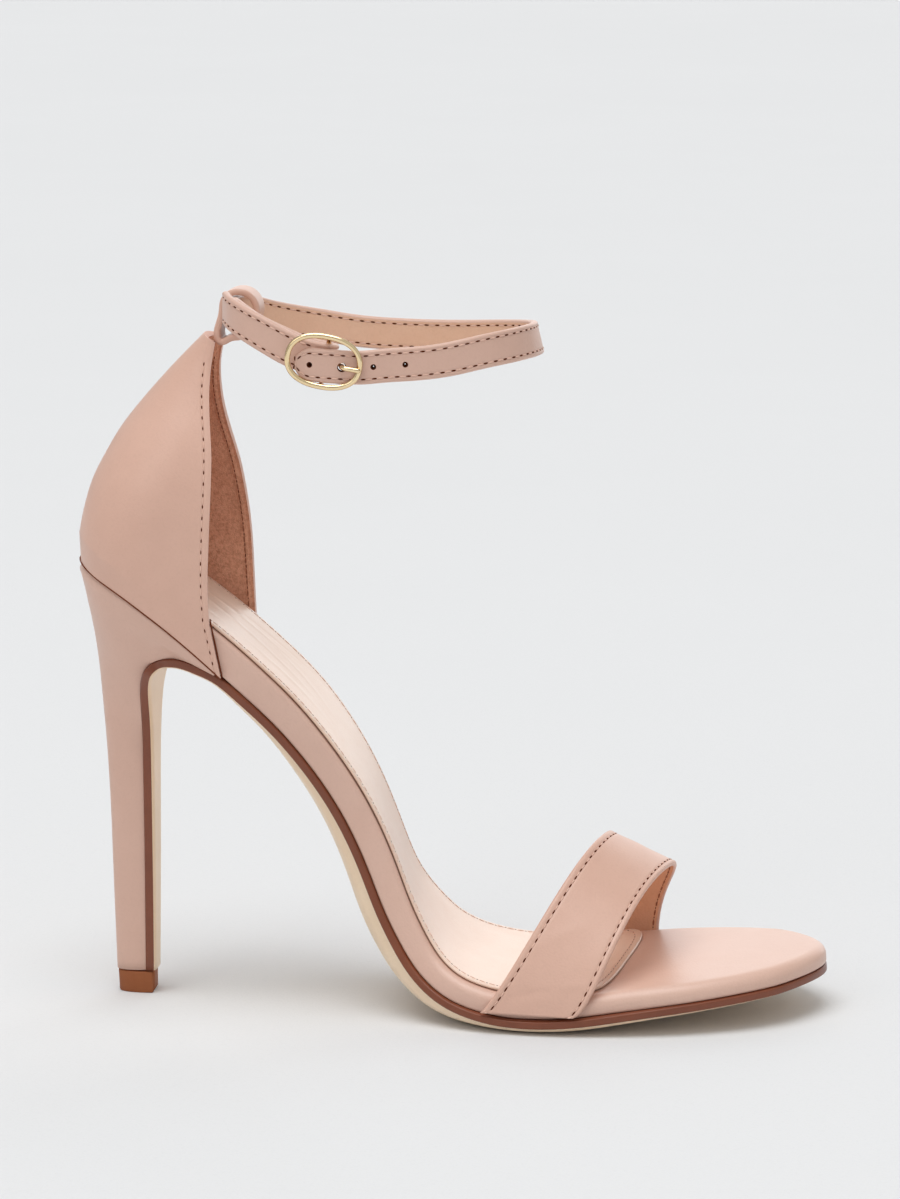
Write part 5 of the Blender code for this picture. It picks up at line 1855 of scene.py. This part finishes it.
@dataclass
class AnkleStrap:
    """Strap with a folded end round the buckle's bar and a punched, rounded tail."""

    last: Last
    width: float = 9.0
    wall: float = 1.9
    length: float = 81.5
    across: float = 53.6
    height: float = 179.9
    back: float = 43.5
    stitch_set: float = 1.4
    groove: float = 0.11
    tip_round: float = 4.8
    tip_close: float = 4.5
    tip_short: float = 0.03
    thread_sunk: float = 0.06
    hole: float = 1.8
    pitch: float = 8.4
    tilt: float = 10.0
    # How far the prong widens its hole, and what is left of a hole's width on the inner face
    prong_ease: float = 0.4
    prong_taper: float = 0.7
    hole_taper: float = 0.03
    punch_depth: float = 2.7
    prong_at: tuple[float, float, float] = (4.8, -3.6, -0.48)
    slot_size: tuple[float, float, float] = (8.8, 6.6, 2.6)
    slot_shift: tuple[float, float, float] = (1.0, 0.35, -0.1)
    # Rows at the end of the chape's stitches, on both sides of the bar and where the fold ends
    chape_row: int = 5
    bar_rows: tuple[int, int] = (6, 10)
    body_row: int = 11
    # Rows between which the lining shows stitches, and the first row of the tail's holes
    lining_rows: tuple[int, int] = (19, 31)
    holes_row: int = -9
    # along, across, up, rake, lean
    rows: tuple[tuple[float, ...], ...] = (
        (-0.0130, -0.205, 11.8, 0.0, 0.0),
        (0.0170, -0.322, 10.8, 0.0, 0.0),
        (0.0830, -0.434, 8.5, 2.0, 0.0),
        (0.1630, -0.494, 5.4, 6.0, 0.0),
        (0.2310, -0.518, 2.7, 9.0, 0.0),
        (0.3000, -0.532, 0.9, 10.0, 0.0),
        (0.3459, -0.5374, 0.20, 10.0, 0.0),
        (0.3621, -0.5270, -0.04, 10.0, 0.0),
        (0.3690, -0.5019, -0.14, 10.0, 0.0),
        (0.3621, -0.4768, -0.04, 10.0, 0.0),
        (0.3459, -0.4664, 0.20, 10.0, 0.0),
        (0.2700, -0.458, 1.6, 9.0, 0.0),
        (0.1900, -0.434, 4.1, 6.0, 0.0),
        (0.1080, -0.378, 6.8, 0.0, 0.0),
        (0.0480, -0.290, 9.3, 0.0, 0.0),
        (0.0150, -0.180, 10.0, 0.0, 0.0),
        (0.0020, -0.085, 9.3, 0.0, 0.0),
        (-0.0030, 0.000, 9.1, 0.0, 0.0),
        (0.0020, 0.095, 8.9, 0.0, 0.0),
        (0.0240, 0.210, 8.3, 0.0, 2.0),
        (0.0700, 0.325, 6.5, 0.0, 4.0),
        (0.1380, 0.420, 4.7, 0.0, 5.0),
        (0.2350, 0.483, 3.1, 0.0, 6.0),
        (0.3550, 0.508, 1.5, 0.0, 6.0),
        (0.5000, 0.510, 0.65, 0.0, 6.0),
        (0.6450, 0.492, 0.5, 0.0, 7.0),
        (0.7750, 0.446, 0.9, 0.0, 8.0),
        (0.8850, 0.362, 1.6, 0.0, 9.0),
        (0.9600, 0.240, 2.4, 0.0, 12.0),
        (0.9960, 0.095, 3.1, 0.0, 13.0),
        (1.0000, -0.050, 3.45, 0.0, 13.0),
        (0.9800, -0.195, 3.6, 0.0, 12.0),
        (0.9300, -0.330, 3.25, 0.0, 9.0),
        (0.8500, -0.430, 2.3, 0.0, 5.0),
        (0.7450, -0.494, 0.6, 0.0, 3.0),
        (0.6300, -0.527, -0.5, 0.0, 2.0),
        (0.5350, -0.545, -1.0, 0.0, 1.0),
        (0.4600, -0.556, -1.5, 0.0, 0.0),
        (0.4000, -0.571, -1.3, 0.0, 0.0),
        (0.3480, -0.579, -1.0, 0.0, 0.0),
        (0.2950, -0.570, -0.7, 0.0, 0.0),
        (0.2500, -0.561, -0.3, 0.0, 0.0),
    )
    folds: tuple[Fold, ...] = (
        Fold(205.0, 0.0, 2.4, 9.0, 0.0, 0.1),
        Fold(214.0, 1.0, 2.0, 7.0, 8.0, -0.08),
        Fold(188.0, -1.0, 2.6, 8.0, -6.0, -0.08),
        Fold(66.0, 0.0, 3.0, 9.0, 0.0, 0.1),
    )

    def __post_init__(self) -> None:
        """Fit the middle line with its rake and lean."""
        t = np.array(self.rows)
        x = self.back - self.last.heel_set + t[:, 0] * self.length
        self.points = np.stack([x, t[:, 1] * self.across, self.height + t[:, 2], t[:, 3], t[:, 4]], 1)
        self.run = chords(self.points[:, :3])
        self.curve = Curve(self.run, self.points)

    @property
    def bar(self) -> Array:
        """Middle of the buckle's bar, inside the fold."""
        return self.points[list(self.bar_rows), :3].mean(0)

    def frame(self, key: Array) -> tuple[Array, Array, Array]:
        """Middle point, width direction and face direction of the strap.

        Args:
            key: lengths along the strap.

        Returns:
            The three arrays.
        """
        ahead = unit(self.curve(key + 0.05)[:, :3] - self.curve(key - 0.05)[:, :3])
        row = self.curve(key)
        rake, lean = np.radians(row[:, 3]), np.radians(row[:, 4])
        upright = np.stack([np.sin(rake), np.zeros(len(key)), np.cos(rake)], 1)
        side = unit(np.cross(ahead, upright))
        wide = np.cross(side, ahead)
        turned = wide * np.cos(lean)[:, None] + side * np.sin(lean)[:, None]
        return row[:, :3], turned, np.cross(ahead, turned)

    def keys(self) -> Array:
        """Places along the strap, closer in the fold and at the rounded tip.

        Returns:
            Rising lengths along the strap.
        """
        run = self.run
        chape, body = run[self.chape_row], run[self.body_row]
        parts = [np.linspace(run[0], chape, 40)[:-1], np.linspace(chape, body, 60)[:-1]]
        close, end = run[-1] - self.tip_close, run[-1] - self.tip_short
        parts.append(np.linspace(body, close, 330)[:-1])
        return np.concatenate([*parts, spaced(2.0 * close - end, end, 41)[20:]])

    def taper(self, key: Array) -> Array:
        """Share of the width left toward the rounded tip."""
        return round_end(self.run[-1] - key, self.tip_round)

    def build(self) -> bpy.types.Object:
        """Section carried along the strap, then the slot and holes cut.

        Returns:
            The dressed strap.
        """
        key = self.keys()
        middle, wide, face = self.frame(key)
        taper = self.taper(key)
        section = strip_section(self.width, self.wall, 0.6, 26)
        place = section[None, :, 0] * taper[:, None]
        edge = 0.5 * self.width * taper[:, None] - np.abs(place)
        outer = np.sign(section[None, :, 1])
        groove = bump_at(edge, self.stitch_set, 0.3) - 0.5 * bump_at(edge, 0.7, 0.45)
        fade = np.clip(edge / 2.0, 0.0, 1.0)
        lift = relief(self.folds, key[:, None], place) * fade
        off = section[None, :, 1] - outer * self.groove * groove * taper[:, None] - lift
        points = middle[:, None] + wide[:, None] * place[..., None] + face[:, None] * off[..., None]
        chape = key[:, None] < self.run[self.body_row]
        upper, lower = (flat_faces(section, self.wall, side)[None] for side in (1.0, -1.0))
        zones = np.where(chape, lower, upper).astype(int)
        item = Skin("ankle_band", points, [BLUSH_HEEL, STRAP_LINING], zones).make("ankle_strap")
        self.punch(item)
        return item

    def hole_keys(self) -> Array:
        """Lengths of the four holes: the prong's, one toward the tip and two away from it.

        Returns:
            One length per hole.
        """
        start = turned_in_buckle(np.array([self.prong_at]), self)[0]
        fine = np.linspace(self.run[self.holes_row], self.run[-1], 400)
        near = fine[np.argmin(np.linalg.norm(self.curve(fine)[:, :3] - start, axis=1))]
        return near - np.array([-1.0, 0.0, 1.0, 2.0]) * self.pitch

    def punch(self, item: bpy.types.Object) -> None:
        """Cut the holes of the tail, their walls in painted shade, then the prong's slot in the fold.

        Args:
            item: strap to cut.
        """
        holes = bmesh.new()
        middle, _, face = self.frame(self.hole_keys())
        for step, (p, n) in enumerate(zip(middle, face)):
            widened = step == 1
            radius = (0.5 * self.hole + self.prong_ease * widened) * MM
            turn = Vector((0.0, 0.0, 1.0)).rotation_difference(Vector(n)).to_matrix().to_4x4()
            inner = (self.prong_taper if widened else self.hole_taper) * radius
            depth = self.punch_depth * MM
            made = bmesh.ops.create_cone(
                holes, cap_ends=True, segments=28, radius1=radius, radius2=inner, depth=depth
            )
            bmesh.ops.transform(holes, matrix=Matrix.Translation(Vector(p) * MM) @ turn, verts=made["verts"])
        slot = bmesh.new()
        made = bmesh.ops.create_cube(slot, size=1.0)
        size = Matrix.Diagonal((*(Vector(self.slot_size) * MM), 1.0))
        tilt = Matrix.Rotation(math.radians(self.tilt), 4, "Y")
        place = Matrix.Translation((Vector(self.bar) + Vector(self.slot_shift)) * MM)
        bmesh.ops.transform(slot, matrix=place @ tilt @ size, verts=made["verts"])
        carve(item, holes, HOLE_SHADE)
        carve(item, slot, STRAP_LINING)
        item.data.set_sharp_from_angle(angle=math.radians(40.0))

    def rail(self, low: float, high: float, edge: float, outside: bool) -> Rail:
        """Line of stitches along one edge.

        Args:
            low: length at which it starts.
            high: length at which it ends.
            edge: minus one for the lower edge, one for the upper.
            outside: on the face that looks away from the face direction.

        Returns:
            The line with its outward directions.
        """
        key = np.linspace(low, high, 500)
        middle, wide, face = self.frame(key)
        place = edge * (0.5 * self.width * self.taper(key) - self.stitch_set)
        out = -face if outside else face
        points = middle + wide * place[:, None] + out * (0.5 * self.wall - self.thread_sunk)
        return Rail(points, out)


def turned_in_buckle(points: Array, strap: AnkleStrap) -> Array:
    """Points given in the plane of the buckle, tilted and moved to its bar.

    Args:
        points: places from the bar along, across and up the buckle.
        strap: strap that holds the bar.

    Returns:
        Points in space.
    """
    a = math.radians(strap.tilt)
    turn = np.array([[math.cos(a), 0.0, math.sin(a)], [0.0, 1.0, 0.0], [-math.sin(a), 0.0, math.cos(a)]])
    return strap.bar + np.asarray(points, float) @ turn.T


@dataclass
class Buckle:
    """Polished oval frame with its bar, and the prong fastened in the strap."""

    strap: AnkleStrap
    wire: float = 1.25
    bar_wire: float = 1.3
    prong_wire: float = 1.3
    long: float = 20.6
    tall: float = 14.6
    off: float = 5.0
    # Power of the oval's corners, below one for a fuller oval
    fullness: float = 0.86
    # Width and height of the frame's wire as shares of its size
    wire_wide: float = 1.2
    wire_high: float = 1.05
    # Length of the prong's rounded tip and the least share of its width
    tip: float = 0.7
    tip_least: float = 0.15

    def build(self) -> list[bpy.types.Object]:
        """Frame with bar, and prong.

        Returns:
            The two dressed pieces.
        """
        long, tall = 0.5 * (self.long - self.wire), 0.5 * (self.tall - self.wire)
        turn = np.linspace(0.0, 2.0 * np.pi, 161)[:-1]
        c, w = np.cos(turn), np.sin(turn)
        x = long * np.sign(c) * np.abs(c) ** self.fullness
        z = tall * np.sign(w) * np.abs(w) ** self.fullness
        oval = turned_in_buckle(np.stack([x, np.full_like(x, -self.off), z], 1), self.strap)
        half = 0.5 * self.wire
        ring = tube(oval, half * self.wire_wide, half * self.wire_high, (0.0, 1.0, 0.0), closed=True)
        high = 0.5 * self.strap.width + FIT + self.bar_wire
        crank = [(0.0, -self.off, tall), (0.0, -3.1, high + 0.35), (0.0, -1.8, high + 0.1)]
        crank += [(0.0, -0.6, high - 0.6), (0.0, 0.0, high - 1.2), (0.0, 0.0, 0.5 * high)]
        keys = np.array(crank + [(0.0, 0.0, 0.0)] + [(x, y, -z) for x, y, z in crank[::-1]])
        half = 0.5 * self.bar_wire
        bar = tube(self.bent(keys, 80), half, half, (1.0, 0.0, 0.0))
        frame_piece = Skin("buckle_oval", ring, [GOLD], ring=True).make("buckle_frame")
        bar_piece = Skin("buckle_bar", bar, [GOLD]).make()
        reach = 0.5 * (self.bar_wire + self.prong_wire) + FIT
        rest = -self.off - 0.5 * (self.wire + self.prong_wire) - FIT
        round_bar = np.radians(np.arange(240.0, -1.0, -20.0))
        hook = [(reach * math.cos(a), reach * math.sin(a), 0.0) for a in round_bar]
        hook += [(1.95, -0.8, -0.05), (2.8, -1.5, -0.2), (3.8, -1.9, -0.35), (4.55, -2.5, -0.45)]
        hook += [(4.8, -3.5, -0.48), (4.9, -4.7, -0.48), (5.3, rest + 0.6, -0.48), (6.2, rest - 0.1, -0.46)]
        hook += [(7.8, rest - 0.2, -0.45), (long + 0.6, rest, -0.45)]
        keys = np.array(hook)
        path = self.bent(keys, 120)
        end = round_end(np.linspace(chords(keys)[-1], 0.0, len(path)), self.tip)
        half = 0.5 * self.prong_wire * np.maximum(end, self.tip_least)
        rings = tube(path, half, half, (0.03, 0.05, 1.0))
        return [frame_piece, bar_piece, Skin("buckle_tongue", rings, [GOLD]).make("buckle_prong")]

    def bent(self, keys: Array, count: int) -> Array:
        """Smooth wire through key points given in the plane of the buckle.

        Args:
            keys: key points of the wire.
            count: points of the path.

        Returns:
            The path in space.
        """
        run = chords(keys)
        return turned_in_buckle(Curve(run, keys)(np.linspace(0.0, run[-1], count)), self.strap)


@dataclass
class Studio:
    """Floor, lights and the camera at the photograph's angle."""

    target: tuple[float, float, float] = (86.66, 0.0, 111.5)
    azimuth: float = 6.4
    elevation: float = 10.0
    distance: float = 1300.0
    pixels_per_mm: float = 3.68
    photo_height: float = 1199.0
    sensor: float = 36.0
    floor_half: float = 12000.0
    glow: float = 0.42
    # name, width in degrees, strength, way from the shoe
    suns: tuple[tuple[str, float, float, tuple[float, float, float]], ...] = (
        ("key_sun", 45.0, 1.75, (-0.12, -0.2, 1.0)),
        ("fill_sun", 70.0, 0.15, (0.6, -0.8, 0.6)),
        ("rim_sun", 60.0, 0.9, (0.1, 1.0, 0.35)),
    )
    # Side of the soft box in metres, its watts and its place from the target in metres
    box_side: float = 0.9
    box_power: float = 2.5
    box_place: tuple[float, float, float] = (-0.9, -1.2, 0.9)

    def back(self) -> Vector:
        """Direction from the target to the camera."""
        a, e = math.radians(self.azimuth), math.radians(self.elevation)
        return Vector((math.sin(a) * math.cos(e), -math.cos(a) * math.cos(e), math.sin(e)))

    def camera(self) -> bpy.types.Object:
        """Camera aimed at the target from the photograph's angle.

        Returns:
            The camera, set as the scene's.
        """
        data = bpy.data.cameras.new("studio_camera")
        data.sensor_width = self.sensor
        data.lens = self.sensor * self.pixels_per_mm * self.distance / self.photo_height
        data.clip_start, data.clip_end = 0.05, 60.0
        item = placed("studio_camera", data)
        back = self.back()
        item.location = (Vector(self.target) + back * self.distance) * MM
        self.aim(item, back)
        bpy.context.scene.camera = item
        return item

    def floor(self) -> bpy.types.Object:
        """Wide pale floor just under the shoe.

        Returns:
            The floor.
        """
        h = self.floor_half * MM
        mesh = bpy.data.meshes.new("studio_floor")
        mesh.from_pydata([(-h, -h, 0.0), (h, -h, 0.0), (h, h, 0.0), (-h, h, 0.0)], [], [(0, 1, 2, 3)])
        mesh.materials.append(FLOOR.material())
        item = placed("studio_floor", mesh)
        return item

    def aim(self, item: bpy.types.Object, way: Vector | tuple[float, float, float]) -> None:
        """Turn a lamp or the camera, which stands that way from the shoe, to face it."""
        item.rotation_euler = (-Vector(way)).to_track_quat("-Z", "Y").to_euler()

    def lamps(self) -> None:
        """Wide soft suns, and one square soft box in front."""
        for name, angle, power, way in self.suns:
            data = bpy.data.lights.new(name, "SUN")
            data.angle = math.radians(angle)
            data.energy = power
            self.aim(placed(name, data), way)
        data = bpy.data.lights.new("front_box", "AREA")
        data.size = self.box_side
        data.energy = self.box_power
        item = placed("front_box", data)
        item.location = Vector(self.target) * MM + Vector(self.box_place)
        self.aim(item, self.box_place)

    def build(self) -> None:
        """Set the stage, the world's glow, the lamps and the camera."""
        world = bpy.data.worlds.new("studio_world")
        bpy.context.scene.world = world
        world.use_nodes = True
        glow = world.node_tree.nodes["Background"]
        glow.inputs[0].default_value = (1.0, 1.0, 1.0, 1.0)
        glow.inputs[1].default_value = self.glow
        self.floor()
        self.lamps()
        self.camera()
        bpy.context.scene.view_settings.view_transform = "Standard"


def sew(sock: Sock, counter: Counter, toe: ToeStrap, ankle: AnkleStrap) -> list[bpy.types.Object]:
    """Lay every row of stitches.

    Args:
        sock: lining of the footbed.
        counter: closed back.
        toe: toe strap.
        ankle: ankle strap.

    Returns:
        The pieces of thread and of needle holes in painted shade.
    """
    sides, fronts = (-1.0, 1.0), (False, True)
    counter_row = Stitching(pitch=3.0, thread=1.9)
    lining_row = Stitching(pitch=3.0, thread=1.9, hole=1.0, deep=0.14, finish=TAN_THREAD)
    for side in sides:
        counter_row.lay(counter.rail(side, False))
        lining_row.lay(counter.rail(side, True))
    toe_row = Stitching(pitch=3.05, thread=1.6, hole=1.5)
    toe_lining_row = Stitching(pitch=3.05, thread=2.0, hole=0.7, deep=0.12, finish=TAN_THREAD)
    for front in fronts:
        toe_row.lay(toe.rail(front, False))
        toe_lining_row.lay(toe.rail(front, True))
    ankle_row = Stitching(pitch=3.0, thread=1.75, hole=1.3)
    run = ankle.run
    chape, body = run[ankle.chape_row], run[ankle.body_row]
    lining_start, lining_end = (run[row] for row in ankle.lining_rows)
    for edge in sides:
        ankle_row.lay(ankle.rail(run[0], chape, edge, False), start=1.6)
        ankle_row.lay(ankle.rail(body, run[-1], edge, True), end=0.3)
        ankle_row.lay(ankle.rail(lining_start, lining_end, edge, False))
    sock_row = Stitching(pitch=2.9, thread=1.9, hole=0.6, thick=0.14, deep=0.1)
    sock_row.lay(sock.rail())
    rows = {
        "counter_stitch": counter_row,
        "lining_stitch": lining_row,
        "toe_stitch": toe_row,
        "toe_lining_stitch": toe_lining_row,
        "ankle_stitch": ankle_row,
        "sock_stitch": sock_row,
    }
    return [piece for name, row in rows.items() for piece in row.make(name)]


def main() -> None:
    """Build the shoe piece by piece, set the studio and report what was made."""
    logging.basicConfig(level=logging.INFO, format="%(name)s: %(message)s")
    last = Last()
    footbed = Footbed(last)
    sock = Sock(footbed)
    counter = Counter(last)
    toe = ToeStrap(last)
    ankle = AnkleStrap(last)
    made = [Outsole(last).build(), footbed.build(), sock.build()]
    made += Heel(last).build()
    made += [counter.build(), TabLoop(last).build(), toe.build(), ankle.build(), *counter.seams()]
    made += Buckle(ankle).build()
    made += sew(sock, counter, toe, ankle)
    Studio().build()
    for item in made:
        LOG.info("%s: %d faces", item.name, len(item.data.polygons))


if __name__ == "__main__":
    main()
